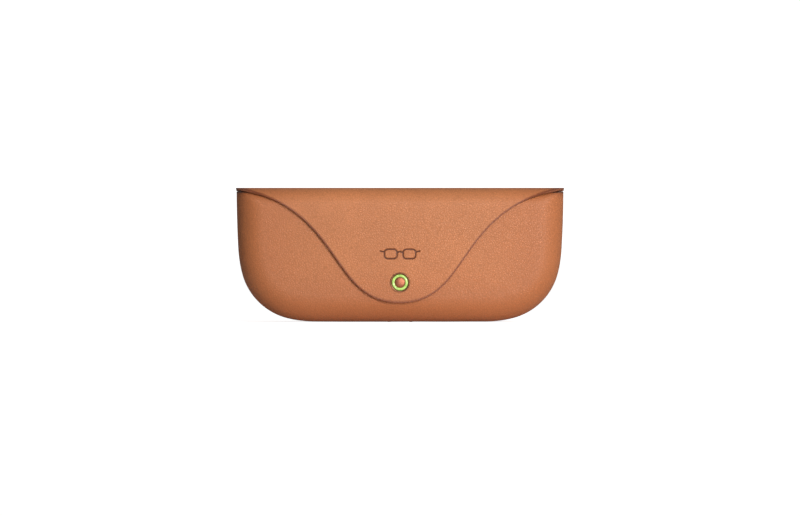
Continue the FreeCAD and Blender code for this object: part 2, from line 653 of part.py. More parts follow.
def bent_band(outer, inner):
    """Sheet from depth outer to depth inner under the flap's outer face: flat, bent, then upright."""
    low = z_tip - 5.0

    def arc(depth):
        r = bend_radius - depth
        k = r * math.sqrt(0.5)
        return Part.Arc(V(0, y_bend, z_bend + r), V(0, y_bend - k, z_bend + k),
                        V(0, y_bend - r, z_bend)).toShape()

    def straight(y0, z0, y1, z1):
        return Part.makeLine(V(0, y0, z0), V(0, y1, z1))

    z_out, z_in = total_height - outer, total_height - inner
    y_out, y_in = y_tongue + outer, y_tongue + inner
    edges = [
        straight(fold_y, z_out, y_bend, z_out), arc(outer), straight(y_out, z_bend, y_out, low),
        straight(y_out, low, y_in, low), straight(y_in, low, y_in, z_bend), arc(inner),
        straight(y_bend, z_in, fold_y, z_in), straight(fold_y, z_in, fold_y, z_out),
    ]
    band = Part.Face(Part.Wire(Part.__sortEdges__(edges))).extrude(V(2 * far, 0, 0))
    band.translate(V(-far, 0, 0))
    return band


def lid():
    """The flap's flat part, hinged along the back edge."""
    r = flap_t / 2
    plan = plan_prism()
    y0 = fold_y + r + flap_gap
    hinge = rod_x(r, half_hinge, hinge_y, hinge_z)
    save("rear_hinge_strip", hinge)
    z_top = total_height
    z_skin = z_top - flap_leather_t
    board = rounded_slab(-half_width + 10.0, half_width - 10.0, y0 + 2.0, y_back - wall - 4.0,
                         z_skin - lid_board_t, z_skin, 6.0)
    area = box(-far, far, y0, hinge_y, -far, far)
    behind = box(-far, far, hinge_y, far, -far, far).cut(box(-half_hinge, half_hinge, -far, far, -far, far))
    flat = plan.common(area.fuse(behind)).cut(hinge)
    save("lid_leather", flat.common(box(-far, far, -far, far, z_skin, z_top)))
    magnet = rod_z(2.0, z_skin - lid_board_t, z_skin - 0.2, 0, y_back - wall - 8.0)
    save("lid_board", board.cut(magnet))
    save("lid_magnet", magnet)
    thin = flat.common(box(-far, far, -far, far, z_top - flap_t, z_skin))
    pocket = rounded_slab(-half_width + 10.0 - flap_lining_t, half_width - 10.0 + flap_lining_t,
                          y0 + 2.0 - flap_lining_t, y_back - wall - 4.0 + flap_lining_t,
                          z_skin - lid_board_t - flap_lining_t, z_skin, 6.0 + flap_lining_t)
    save("lid_lining", thin.fuse(pocket).cut([board, magnet]).removeSplitter())


def tongue():
    """The flap's bend and hanging tongue, with the snap and its clear ring."""
    r = flap_t / 2
    form = plan_prism().common(tongue_edge())
    fold = rod_x(r, half_flap - 1.5, fold_y, hinge_z)
    save("front_fold_strip", fold)
    snap_hole = rod_y(bezel_r + clearance, -far, 0, z=z_light)
    save("tongue_leather", bent_band(0.0, flap_leather_t).common(form).cut([fold, snap_hole]))
    y_core = y_tongue + flap_leather_t
    core = tongue_edge(board_margin).common(
        box(-far, far, y_core, y_core + tongue_board_t, z_tip + board_margin, z_bend - 3.0))
    core = core.cut(rod_y(bezel_r + 1.0, -far, 0, z=z_light))
    save("tongue_board", core)
    soft = bent_band(flap_leather_t, flap_t).common(form).cut([fold, snap_hole, core])
    save("tongue_lining", soft)
    y_inner = y_tongue + flap_t
    save("snap_bezel", tube_y(bezel_r, ring_outer_r + clearance, y_tongue - 0.15, y_inner, z=z_light))
    save("snap_light_ring", tube_y(ring_outer_r, ring_inner_r, y_tongue - ring_proud, y_inner, z=z_light))
    keeper_t = 0.8
    dome_h = snap_proud
    cap_r = ring_inner_r - clearance
    sphere_r = (cap_r ** 2 + dome_h ** 2) / (2 * dome_h)
    crown = Part.makeSphere(sphere_r, V(0, y_tongue - dome_h + sphere_r, z_light))
    cap = rod_y(cap_r, y_tongue, y_inner - keeper_t, z=z_light)
    cap = cap.fuse(crown.common(rod_y(cap_r, y_tongue - dome_h - 1, y_tongue, z=z_light))).removeSplitter()
    save("snap_cap", cap)
    save("snap_keeper", rod_y(cap_r, y_inner - keeper_t, y_inner, z=z_light))


def main():
    os.makedirs("parts", exist_ok=True)
    light_window, light_seat, light_groove = light_unit()
    button_window, button_seat, button_grooves = button_unit()
    port_hole = port_unit()
    seats = [light_seat, button_seat]
    body_shells([light_window, button_window], seats, [light_groove] + button_grooves, port_hole)
    deck_and_lining(seats)
    bay()
    dock()
    lid()
    tongue()


main()
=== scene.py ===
import json
import math

import bmesh
import bpy
from bpy.props import FloatProperty, FloatVectorProperty, IntProperty, PointerProperty
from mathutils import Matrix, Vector, geometry, noise


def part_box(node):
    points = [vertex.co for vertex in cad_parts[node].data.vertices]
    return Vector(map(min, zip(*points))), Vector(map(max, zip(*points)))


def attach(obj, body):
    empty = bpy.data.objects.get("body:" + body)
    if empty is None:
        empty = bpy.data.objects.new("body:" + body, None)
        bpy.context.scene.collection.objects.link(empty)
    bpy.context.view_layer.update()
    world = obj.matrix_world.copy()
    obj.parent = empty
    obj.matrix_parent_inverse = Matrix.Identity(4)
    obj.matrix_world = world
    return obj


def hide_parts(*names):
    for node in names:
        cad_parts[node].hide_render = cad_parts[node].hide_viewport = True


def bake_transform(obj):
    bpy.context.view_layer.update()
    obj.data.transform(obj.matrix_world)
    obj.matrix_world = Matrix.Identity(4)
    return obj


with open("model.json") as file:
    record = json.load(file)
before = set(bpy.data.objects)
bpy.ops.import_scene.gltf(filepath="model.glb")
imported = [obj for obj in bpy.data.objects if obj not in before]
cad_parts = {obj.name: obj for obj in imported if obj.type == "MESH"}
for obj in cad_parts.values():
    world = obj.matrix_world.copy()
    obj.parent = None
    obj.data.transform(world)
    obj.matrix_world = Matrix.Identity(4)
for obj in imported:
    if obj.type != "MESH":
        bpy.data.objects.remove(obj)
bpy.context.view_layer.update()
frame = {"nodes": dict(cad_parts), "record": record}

bl_info = {
    "name": "Glasses charging case",
    "version": (1, 0, 0),
    "blender": (4, 5, 0),
    "location": "3D View > Sidebar > Case",
    "description": "Leather charging case with a snap-down flap, built round its mechanical frame",
    "category": "Object",
}

MM = 0.001
UP = Vector((0, 0, 1))

# ------------------------------------------------------------------ places, from the frame
COVER_LOW, COVER_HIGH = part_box("front_cover")
HALF_BODY = COVER_HIGH.x
BODY_FRONT = COVER_LOW.y
SEAM_Y = COVER_HIGH.y
BASE_Z = COVER_LOW.z
COVER_TOP = COVER_HIGH.z
BODY_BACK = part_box("back_cover")[1].y
LID_LOW, LID_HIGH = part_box("lid_leather")
HALF_FLAP = LID_HIGH.x
FLAP_TOP = LID_HIGH.z
FLAP_LEATHER = LID_HIGH.z - LID_LOW.z
FLAP_FRONT, FLAP_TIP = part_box("tongue_leather")[0].yz
FOLD_LOW, FOLD_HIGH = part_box("front_fold_strip")
FLAP_THICK = FOLD_HIGH.z - FOLD_LOW.z
FOLD_Y = (FOLD_LOW.y + FOLD_HIGH.y) / 2
HINGE_LOW, HINGE_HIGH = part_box("rear_hinge_strip")
HINGE_Y = (HINGE_LOW.y + HINGE_HIGH.y) / 2
HINGE_Z = (HINGE_LOW.z + HINGE_HIGH.z) / 2
HALF_HINGE = HINGE_HIGH.x
BEND_Y = FOLD_Y - FLAP_THICK / 2
BEND_R = BEND_Y - FLAP_FRONT
BEND_Z = FLAP_TOP - BEND_R
SHOULDER_R = BEND_Y - BODY_FRONT
FLAP_JOIN_Y = FOLD_Y + 1.8 * MM
FLOOR_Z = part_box("cavity_lining")[0].z
RING_LOW, RING_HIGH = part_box("snap_light_ring")
LIGHT_Z = (RING_LOW.z + RING_HIGH.z) / 2
PAD_LOW, PAD_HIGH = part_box("lid_board")

# ------------------------------------------------------------------ sizes of the form
EDGE_ROLL = 13 * MM
OUTLINE_ARCS = ((58 * MM, 14.0), (31 * MM, 74.5), (60 * MM, 86.7), (550 * MM, 90.0))
COVER_T = 1.2 * MM
WALL = 3.8 * MM
LINING_T = 0.8 * MM
TIP_HANDLE = 36 * MM
SHOULDER_HANDLE = 56 * MM
SHOULDER_SLOPE = math.radians(11)
SCOOP_DEPTH = 7 * MM
SCOOP_FLAT = 42 * MM
SCOOP_END = 66 * MM
SCOOP_START_Z = 44 * MM
CROWN_FULL_Z, CROWN_FADE_Z, CROWN_END_Z = 38 * MM, 40 * MM, 58 * MM
SNAP_GAP = 0.03 * MM
CAP_SHORT = 0.4 * MM
# painted shade: ranges over which the hide darkens towards the ends and towards the base
PAINTED_SHADE_ENDS, PAINTED_SHADE_BASE = (36 * MM, 74 * MM), (7 * MM, 30 * MM)
WAVE_DEPTH = 0.07 * MM
PAD_LAP, PAD_CORNER, PAD_ROUND = 0.6 * MM, 6.6 * MM, 0.8 * MM
# faces across, up, round the edge roll and along the side
COVER_FACES, LINING_FACES = (96, 62, 14, 6), (80, 50, 10, 5)
# faces across and front to back
FLAP_TOP_FACES = (150, 44)
STAMP_Z = LIGHT_Z + 14.2 * MM

# ------------------------------------------------------------------ leather, light and camera
PEBBLES_PER_METRE = 900.0
GRAIN_DEPTH = 0.16 * MM
LEATHER_ROUGHNESS = 0.5
VIEW_WIDTH = 401.3 * MM
EYE_HEIGHT = 31.9 * MM
LENS_LENGTH, SENSOR_WIDTH = 200.0, 36.0
KEY_POWER = 5.5
HIGH_POWER = 0.8
ROOM_LOW, ROOM_HIGH = 0.085, 0.34


def settings():
    return bpy.context.scene.glasses_case


# ------------------------------------------------------------------ the form's curves
def outline_point(turn, inset):
    """(x, z) on the right half of the body's outline, taken in by inset, where its direction is turn."""
    reach = sum(r * (math.sin(math.radians(b)) - math.sin(math.radians(a)))
                for (r, b), a in zip(OUTLINE_ARCS, (0.0, *(end for _, end in OUTLINE_ARCS))))
    x, z, start = HALF_BODY - reach, BASE_Z + inset, 0.0
    for radius, end in OUTLINE_ARCS:
        stop = min(turn, math.radians(end))
        x += (radius - inset) * (math.sin(stop) - math.sin(start))
        z += (radius - inset) * (math.cos(start) - math.cos(stop))
        if turn <= math.radians(end):
            break
        start = stop
    return x, z


def turn_at(share):
    """Direction of the outline at that share of its length, from the flat bottom up."""
    before = (0.0, *(end for _, end in OUTLINE_ARCS))
    lengths = [r * math.radians(end - start) for (r, end), start in zip(OUTLINE_ARCS, before)]
    left = share * sum(lengths)
    for (radius, end), start, length in zip(OUTLINE_ARCS, before, lengths):
        if left <= length:
            return math.radians(start) + left / radius
        left -= length
    return math.radians(OUTLINE_ARCS[-1][1])


def smooth(value, low, high):
    t = min(max((value - low) / (high - low), 0.0), 1.0)
    return t * t * (3 - 2 * t)


def scoop_drop(x):
    """How far the front rim lies under the rest of the mouth.  Each side is an even S from end to flat."""
    side = (2 * abs(x) - SCOOP_FLAT - SCOOP_END) / (SCOOP_END - SCOOP_FLAT)
    low, high = 0.0, 1.0
    for _ in range(24):
        t = (low + high) / 2
        if (1 - t) ** 3 - t ** 3 > side:
            low = t
        else:
            high = t
    return SCOOP_DEPTH * t * t * (3 - 2 * t)


def crown(x, z):
    """How far the padded front and back stand out past the plain form."""
    across = max(0.0, 1 - (x / (HALF_BODY - EDGE_ROLL)) ** 2)
    upward = smooth(z, BASE_Z + EDGE_ROLL, CROWN_FULL_Z) * (1 - smooth(z, CROWN_FADE_Z, CROWN_END_Z))
    return settings().crown * across * upward


def tongue_edge():
    """Height of the tongue's edge at each share of the half width."""
    pull = Vector((HALF_FLAP - SHOULDER_HANDLE * math.cos(SHOULDER_SLOPE),
                   FLAP_TOP - SHOULDER_HANDLE * math.sin(SHOULDER_SLOPE)))
    curve = geometry.interpolate_bezier(Vector((0, FLAP_TIP)), Vector((TIP_HANDLE, FLAP_TIP)), pull,
                                        Vector((HALF_FLAP, FLAP_TOP)), 400)

    def height(x):
        x = min(abs(x), HALF_FLAP)
        for a, b in zip(curve, curve[1:]):
            if x <= b.x:
                return a.y + (b.y - a.y) * (x - a.x) / max(b.x - a.x, 1e-9)
        return FLAP_TOP
    return height


def flap_section(run, depth):
    """(y, z) under the flap's outer face: run goes from the join on top, round the bend, down the tongue."""
    flat = FLAP_JOIN_Y - BEND_Y
    if run < flat:
        return FLAP_JOIN_Y - run, FLAP_TOP - depth
    angle = (run - flat) / BEND_R
    if angle < math.pi / 2:
        r = BEND_R - depth
        return BEND_Y - r * math.sin(angle), BEND_Z + r * math.cos(angle)
    return FLAP_FRONT + depth, BEND_Z - (run - flat - BEND_R * math.pi / 2)


def flap_run(z):
    """The run at which the flap's outer face reaches that height."""
    flat = FLAP_JOIN_Y - BEND_Y
    if z >= BEND_Z:
        return flat + BEND_R * math.acos(min((z - BEND_Z) / BEND_R, 1.0))
    return flat + BEND_R * math.pi / 2 + BEND_Z - z


# ------------------------------------------------------------------ mesh helpers
def make_object(bm, name, materials, body=None):
    mesh = bpy.data.meshes.new(name)
    bm.to_mesh(mesh)
    bm.free()
    for material in materials:
        mesh.materials.append(material)
    mesh.shade_smooth()
    obj = bpy.data.objects.new(name, mesh)
    bpy.context.scene.collection.objects.link(obj)
    if body:
        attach(obj, body)
    return obj


def face_out(bm, outside):
    """Turn an open shell's faces towards the point outside."""
    bmesh.ops.recalc_face_normals(bm, faces=bm.faces)
    facing = [f.normal.dot((outside - f.calc_center_median()).normalized()) for f in bm.faces]
    if max(facing, key=abs) < 0:
        bmesh.ops.reverse_faces(bm, faces=bm.faces)


def thicken(bm, thickness, round_off, square=lambda point: False):
    """Give an open shell a wall behind its faces.  Its rim gets the second material and rounded edges,
    apart from where square says that it butts against its neighbour."""
    skin = set(bm.faces)
    made = bmesh.ops.solidify(bm, geom=list(bm.faces), thickness=thickness)["geom"]
    inner = {f for f in made if isinstance(f, bmesh.types.BMFace)}
    rim = [f for f in bm.faces if f not in skin and f not in inner]
    for face in rim:
        face.material_index = 1
    rim_set = set(rim)
    corners = [e for e in bm.edges if len(e.link_faces) == 2
               and (e.link_faces[0] in rim_set) != (e.link_faces[1] in rim_set)]
    rounded = [e for e in corners if round_off > 0 and not square((e.verts[0].co + e.verts[1].co) / 2)]
    for edge in set(corners).difference(rounded):
        edge.smooth = False
    if rounded:
        bmesh.ops.bevel(bm, geom=rounded, offset=round_off, offset_type="OFFSET", segments=3,
                        profile=0.5, affect="EDGES", material=-1, clamp_overlap=True)


def punch(bm, away):
    """Cut a hole where away, a point's distance outside the hole's outline, is negative."""
    reach, snap, h = 2.4 * MM, 0.7 * MM, 0.01 * MM
    near = [e for e in bm.edges if all(abs(away(v.co)) < reach for v in e.verts)]
    bmesh.ops.subdivide_edges(bm, edges=near, cuts=3, use_grid_fill=True)
    gone = [f for f in bm.faces if away(f.calc_center_median()) < 0]
    if not gone:
        raise RuntimeError("a hole missed its shell")
    bmesh.ops.delete(bm, geom=gone, context="FACES")
    for vert in bm.verts:
        for _ in range(2 if vert.is_boundary and abs(away(vert.co)) < snap else 0):
            gap = away(vert.co)
            slope = Vector([(away(vert.co + step) - away(vert.co - step)) / (2 * h)
                            for step in (Vector((h, 0, 0)), Vector((0, h, 0)), Vector((0, 0, h)))])
            vert.co -= slope * gap


def round_hole(z, radius, depth_range):
    """Distance outside a round front-to-back hole."""
    return lambda p: (math.hypot(p.x, p.z - z) - radius) if depth_range[0] < p.y < depth_range[1] else 1.0


def slot_hole(node):
    """Distance outside the upright slot that the node fills, in the underside."""
    low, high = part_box(node)
    y, r = (low.y + high.y) / 2, (high.y - low.y) / 2 + 0.05 * MM
    return lambda p: (math.hypot(max(abs(p.x) - high.x + r, 0), p.y - y) - r) if p.z < 3 * MM else 1.0


def extend(bm, edges):
    """Extrude the edges, for the new vertices and the new edges."""
    geom = bmesh.ops.extrude_edge_only(bm, edges=edges)["geom"]
    return ([g for g in geom if isinstance(g, bmesh.types.BMVert)],
            [g for g in geom if isinstance(g, bmesh.types.BMEdge)])


def tag_layer(bm, name):
    return bm.verts.layers.float.get(name) or bm.verts.layers.float.new(name)


def turned(name, profile, slot, body):
    """Round piece about the snap's axis.  The profile is a closed list of (radius, y)."""
    bm = bmesh.new()
    verts = [bm.verts.new((r, y, LIGHT_Z)) for r, y in profile]
    edges = [bm.edges.new(pair) for pair in zip(verts, verts[1:])]
    if profile[0][0] > 0 and profile[-1][0] > 0:
        edges.append(bm.edges.new((verts[-1], verts[0])))
    bmesh.ops.spin(bm, geom=verts + edges, cent=(0, 0, LIGHT_Z), axis=(0, 1, 0), angle=math.tau, steps=96,
                   use_merge=True)
    bmesh.ops.remove_doubles(bm, verts=bm.verts, dist=1e-6)
    bmesh.ops.recalc_face_normals(bm, faces=bm.faces)
    return make_object(bm, name, [material_for(slot)], body)


# ------------------------------------------------------------------ body shells
def half_shell(bm, inset, face_y, sense, padded, counts):
    """Front or back half of the body's form, taken in by inset.  It starts as the flat face and its edge is
    drawn out round the roll and along the side to the middle seam.  The front is scooped."""
    columns, rows, roll_steps, side_steps = counts
    across = tag_layer(bm, "across")
    upward = tag_layer(bm, "upward")
    made = bmesh.ops.create_grid(bm, x_segments=columns, y_segments=rows, size=1.0)["verts"]
    roll = EDGE_ROLL - inset

    def put(vert, taken_in, y):
        x, z = outline_point(turn_at(vert[upward]), taken_in)
        vert.co = Vector((vert[across] * x, y, z))

    for vert in made:
        vert[across] = vert.co.x
        vert[upward] = (vert.co.y + 1) / 2
        put(vert, EDGE_ROLL, face_y)
    shell = set(made)
    front = [e for e in bm.edges if e.is_boundary and e.verts[0] in shell
             and not (e.verts[0][upward] > 0.999 and e.verts[1][upward] > 0.999)]

    def draw_out(edges, taken_in, y):
        fresh, outer = extend(bm, edges)
        for vert in fresh:
            put(vert, taken_in, y)
        shell.update(fresh)
        return outer

    for step in range(1, roll_steps + 1):
        angle = math.pi / 2 * step / roll_steps
        front = draw_out(front, inset + roll * (1 - math.sin(angle)),
                         face_y + sense * roll * (1 - math.cos(angle)))
    side_start = face_y + sense * roll
    for step in range(1, side_steps + 1):
        y = side_start + (SEAM_Y - side_start) * step / side_steps
        front = draw_out(front, inset, y)
    shaped = list(shell)
    edges = {e for v in shaped for e in v.link_edges}
    faces = {f for v in shaped for f in v.link_faces}
    bmesh.ops.bisect_plane(bm, geom=shaped + list(edges) + list(faces), dist=1e-7,
                           plane_co=(0, 0, COVER_TOP), plane_no=UP, clear_outer=True)
    r = SHOULDER_R - inset
    for vert in bm.verts:
        if vert.co.z > COVER_TOP + 1e-6 or (vert.co.y - SEAM_Y) * sense > 1e-6:
            continue
        if sense > 0 and vert.co.z > SCOOP_START_Z:
            kept = 1 - scoop_drop(vert.co.x) / (COVER_TOP - SCOOP_START_Z)
            vert.co.z = SCOOP_START_Z + (vert.co.z - SCOOP_START_Z) * kept
        if sense > 0 and vert.co.z > BEND_Z:
            rise = min(vert.co.z - BEND_Z, r)
            vert.co.y = max(vert.co.y, BEND_Y - math.sqrt(r * r - rise * rise))
        if padded:
            flat = 1 - smooth(abs(vert.co.y - face_y), 0, roll)
            vert.co.y -= sense * crown(vert.co.x, vert.co.z) * flat


def paint_shade_mask(bm, shade_all_over=0.0):
    """Record where painted shade darkens the hide: at the ends and along the lower edge, and by the given
    share all over.
    """
    layer = tag_layer(bm, "handled")
    for vert in bm.verts:
        ends = smooth(abs(vert.co.x), *PAINTED_SHADE_ENDS)
        low = 1 - smooth(vert.co.z, *PAINTED_SHADE_BASE)
        vert[layer] = shade_all_over + (1 - shade_all_over) * (max(ends, low) * 0.8 + min(ends, low) * 0.2)


def soft_waves(bm, amount, scale, seed, freeze=lambda point: 1.0, lift=0.0):
    """Very shallow unevenness of hide laid over a shell.  A lift of 1 keeps it all outside the shell."""
    bm.normal_update()
    for vert in bm.verts:
        point = vert.co * scale + Vector((seed, 0, 0))
        vert.co += vert.normal * amount * (lift + noise.noise(point)) * freeze(vert.co)


# ------------------------------------------------------------------ material helpers
class Tree:
    """Short way to write a node tree."""

    def __init__(self, tree):
        self.tree = tree

    def node(self, kind, inputs=None, **fields):
        made = self.tree.nodes.new(kind)
        for name, value in fields.items():
            setattr(made, name, value)
        for name, value in (inputs or {}).items():
            self.feed(made.inputs[name], value)
        return made

    def feed(self, socket, value):
        if isinstance(value, bpy.types.NodeSocket):
            self.tree.links.new(value, socket)
        else:
            socket.default_value = value

    def place(self):
        """Object coordinates."""
        return self.node("ShaderNodeTexCoord").outputs["Object"]

    def math(self, operation, *values):
        made = self.tree.nodes.new("ShaderNodeMath")
        made.operation = operation
        for socket, value in zip(made.inputs, values):
            self.feed(socket, value)
        return made.outputs[0]

    def remap(self, value, low, high, to_low=0.0, to_high=1.0):
        inputs = {"Value": value, "From Min": low, "From Max": high, "To Min": to_low, "To Max": to_high}
        return self.node("ShaderNodeMapRange", inputs, interpolation_type="SMOOTHSTEP").outputs["Result"]

    def mix(self, share, first, second, blend="MIX"):
        made = self.node("ShaderNodeMix", data_type="RGBA", blend_type=blend)
        self.feed(made.inputs[0], share)
        self.feed(made.inputs[6], first)
        self.feed(made.inputs[7], second)
        return made.outputs[2]


def shade(rgb, factor):
    return tuple(min(c * factor, 1.0) for c in rgb[:3]) + (1.0,)


def shared_group(name, inputs, outputs, fill):
    """The node group of that name, built the first time that a material needs it."""
    group = bpy.data.node_groups.get(name)
    if group:
        return group
    group = bpy.data.node_groups.new(name, "ShaderNodeTree")
    for label, value in inputs.items():
        socket = group.interface.new_socket(label, in_out="INPUT", socket_type="NodeSocketFloat")
        socket.default_value = value
    for label in outputs:
        group.interface.new_socket(label, in_out="OUTPUT", socket_type="NodeSocketFloat")
    tree = Tree(group)
    fill(tree, tree.node("NodeGroupInput").outputs, tree.node("NodeGroupOutput").inputs)
    return group


def pebbled_hide():
    """Rounded cells of two sizes parted by creases, with pores and slow changes of tone."""
    def fill(tree, given, out):
        place = tree.place()
        wander = tree.node("ShaderNodeTexNoise", {"Vector": place, "Scale": 420.0, "Detail": 2.0})
        pull = tree.node("ShaderNodeVectorMath", {0: wander.outputs["Color"], 1: (0.5, 0.5, 0.5)},
                         operation="SUBTRACT")
        scaled = tree.node("ShaderNodeVectorMath", {0: pull.outputs[0]}, operation="SCALE")
        tree.feed(scaled.inputs["Scale"], tree.math("MULTIPLY", given["Stretch"], 0.002))
        bent = tree.node("ShaderNodeVectorMath", {0: place, 1: scaled.outputs[0]}, operation="ADD").outputs[0]

        def cells(randomness, scale):
            made = tree.node("ShaderNodeTexVoronoi", {"Vector": bent, "Randomness": randomness},
                             feature="DISTANCE_TO_EDGE")
            tree.feed(made.inputs["Scale"], scale)
            return made.outputs["Distance"]

        large = cells(0.9, given["Pebbles per metre"])
        small = cells(1.0, tree.math("MULTIPLY", given["Pebbles per metre"], 2.3))
        pores = tree.node("ShaderNodeTexNoise", {"Vector": place, "Scale": 3800.0, "Detail": 3.0,
                                                 "Roughness": 0.6}).outputs["Fac"]
        height = tree.math("ADD", tree.math("MULTIPLY", tree.remap(large, 0.0, 0.34), 0.62),
                           tree.math("MULTIPLY", tree.remap(small, 0.0, 0.30), 0.26))
        slow = tree.node("ShaderNodeTexNoise", {"Vector": place, "Scale": 28.0, "Detail": 4.0,
                                                "Roughness": 0.55}).outputs["Fac"]
        tree.feed(out["Height"], tree.math("ADD", height, tree.math("MULTIPLY", pores, 0.12)))
        tree.feed(out["Crease"], tree.math("SUBTRACT", 1.0, tree.remap(large, 0.0, 0.16)))
        tree.feed(out["Tone"], tree.remap(slow, 0.34, 0.66))
        tree.feed(out["Pore"], tree.remap(pores, 0.52, 0.72))

    return shared_group("pebbled_hide", {"Pebbles per metre": PEBBLES_PER_METRE, "Stretch": 0.35},
                        ["Height", "Crease", "Tone", "Pore"], fill)


# name: what the fine texture counts and how many, its settings and stretch, the slow mask's name, settings
# and limits.  The nap has brushed patches, the moulded grain faint smudges, the metal slight tarnish.
FINE_TEXTURES = {
    "short_nap": ("Fibres per metre", 5200.0, {"Detail": 4.0, "Roughness": 0.7, "Distortion": 0.6}, (1, 1, 1),
                  "Patch", {"Scale": 60.0, "Detail": 3.0, "Distortion": 1.2}, (0.35, 0.65)),
    "moulded_grain": ("Grains per metre", 6500.0, {"Detail": 2.0}, (1, 1, 1),
                      "Smudge", {"Scale": 90.0, "Detail": 3.0}, (0.3, 0.7)),
    "worked_metal": ("Marks per metre", 9000.0, {"Detail": 3.0}, (0.06, 1, 1),
                     "Tarnish", {"Scale": 320.0, "Detail": 4.0}, (0.4, 0.75)),
}


def fine_texture(name):
    """A fine texture for the height, and a slow one for a mask."""
    count, scale, fine, stretch, mask, slow, limits = FINE_TEXTURES[name]

    def fill(tree, given, out):
        place = tree.place()
        drawn = tree.node("ShaderNodeMapping", {"Vector": place, "Scale": stretch}).outputs[0]
        marks = tree.node("ShaderNodeTexNoise", {"Vector": drawn, **fine})
        tree.feed(marks.inputs["Scale"], given[count])
        patches = tree.node("ShaderNodeTexNoise", {"Vector": place, **slow})
        tree.feed(out["Height"], marks.outputs["Fac"])
        tree.feed(out[mask], tree.remap(patches.outputs["Fac"], *limits))

    return shared_group(name, {count: scale}, ["Height", mask], fill)


def start_material(name):
    found = bpy.data.materials.get(name)
    if found:
        bpy.data.materials.remove(found)
    material = bpy.data.materials.new(name)
    material.use_nodes = True
    return material, Tree(material.node_tree), material.node_tree.nodes["Principled BSDF"]


def textured(tree, group, count, value):
    """Place a node group, with its own number of marks per metre."""
    placed = tree.node("ShaderNodeGroup", node_tree=group)
    placed.inputs[count].default_value = value
    return placed.outputs


def add_bump(tree, shader, height, strength, distance):
    bump = tree.node("ShaderNodeBump", {"Height": height, "Strength": strength, "Distance": distance})
    tree.feed(shader.inputs["Normal"], bump.outputs["Normal"])


def leather_material(name, rgb):
    """Grained hide.  The attributes darken it: edge at a burnished edge, pressed in a hot stamp, and the
    third with painted shade at the ends and along the lower edge.  The grain's creases and pores get painted
    shade too."""
    material, tree, shader = start_material(name)
    hide = textured(tree, pebbled_hide(), "Pebbles per metre", PEBBLES_PER_METRE)
    edge, pressed, handled = (tree.node("ShaderNodeAttribute", attribute_name=label).outputs["Fac"]
                              for label in ("edge", "pressed", "handled"))

    def darker(red, green, blue):
        return (rgb[0] * red, rgb[1] * green, rgb[2] * blue, 1)

    skin = tree.mix(hide["Tone"], shade(rgb, 0.94), shade(rgb, 1.06))
    # painted shade: darker at the ends and along the lower edge
    skin = tree.mix(handled, skin, darker(0.83, 0.74, 0.69))
    # painted shade: the grain's creases and pores are darkened
    skin = tree.mix(tree.math("MULTIPLY", hide["Crease"], 0.42), skin, shade(rgb, 0.55))
    skin = tree.mix(tree.math("MULTIPLY", hide["Pore"], 0.16), skin, shade(rgb, 0.62))
    skin = tree.mix(tree.math("MULTIPLY", edge, 0.9), skin, darker(0.34, 0.22, 0.17))
    skin = tree.mix(tree.math("MULTIPLY", pressed, 0.95), skin, darker(0.16, 0.10, 0.07))
    tree.feed(shader.inputs["Base Color"], skin)
    dull = tree.math("ADD", tree.math("MULTIPLY", hide["Crease"], 0.16), LEATHER_ROUGHNESS)
    tree.feed(shader.inputs["Roughness"], tree.math("SUBTRACT", dull, tree.math("MULTIPLY", edge, 0.08)))
    shader.inputs["Specular IOR Level"].default_value = 0.45
    calm = tree.math("SUBTRACT", 1.0, tree.math("MULTIPLY", pressed, 0.8))
    add_bump(tree, shader, tree.math("MULTIPLY", hide["Height"], calm), 0.55, GRAIN_DEPTH)
    return material


def edge_paint_material(name, rgb):
    """Burnished and waxed cut edge."""
    material, tree, shader = start_material(name)
    grain = textured(tree, fine_texture("moulded_grain"), "Grains per metre", 2600.0)
    tree.feed(shader.inputs["Base Color"], tree.mix(grain["Smudge"], shade(rgb, 0.8), shade(rgb, 1.25)))
    tree.feed(shader.inputs["Roughness"], tree.remap(grain["Smudge"], 0, 1, 0.42, 0.55))
    add_bump(tree, shader, grain["Height"], 0.3, 0.00006)
    return material


def nap_material(name, rgb, rough=0.9, sheen=0.5):
    """Microfibre or suede."""
    material, tree, shader = start_material(name)
    nap = textured(tree, fine_texture("short_nap"), "Fibres per metre", 5200.0)
    patched = tree.mix(nap["Patch"], shade(rgb, 0.93), shade(rgb, 1.08))
    fibred = tree.mix(tree.math("MULTIPLY", nap["Height"], 0.35), patched, shade(rgb, 1.7))
    tree.feed(shader.inputs["Base Color"], fibred)
    shader.inputs["Roughness"].default_value = rough
    shader.inputs["Sheen Weight"].default_value = sheen
    shader.inputs["Sheen Roughness"].default_value = 0.45
    shader.inputs["Specular IOR Level"].default_value = 0.2
    add_bump(tree, shader, nap["Height"], 0.6, 0.00009)
    return material


def plastic_material(name, rgb, rough=0.45, depth=0.00002, grains=6500.0, coat=0.0):
    """Moulded plastic."""
    material, tree, shader = start_material(name)
    grain = textured(tree, fine_texture("moulded_grain"), "Grains per metre", grains)
    tree.feed(shader.inputs["Base Color"], tree.mix(grain["Smudge"], shade(rgb, 0.9), shade(rgb, 1.12)))
    tree.feed(shader.inputs["Roughness"], tree.remap(grain["Smudge"], 0, 1, rough - 0.05, rough + 0.07))
    shader.inputs["Coat Weight"].default_value = coat
    add_bump(tree, shader, grain["Height"], 0.5, depth)
    return material


def metal_material(name, rgb, rough=0.25, marks=9000.0, tarnish=0.12):
    """Turned, brushed or plated metal."""
    material, tree, shader = start_material(name)
    worked = textured(tree, fine_texture("worked_metal"), "Marks per metre", marks)
    dulled = tree.math("MULTIPLY", worked["Tarnish"], tarnish)
    tree.feed(shader.inputs["Base Color"], tree.mix(dulled, shade(rgb, 1), shade(rgb, 0.45)))
    tree.feed(shader.inputs["Roughness"], tree.remap(worked["Tarnish"], 0, 1, rough, rough + 0.12))
    shader.inputs["Metallic"].default_value = 1.0
    add_bump(tree, shader, worked["Height"], 0.25, 0.000012)
    return material


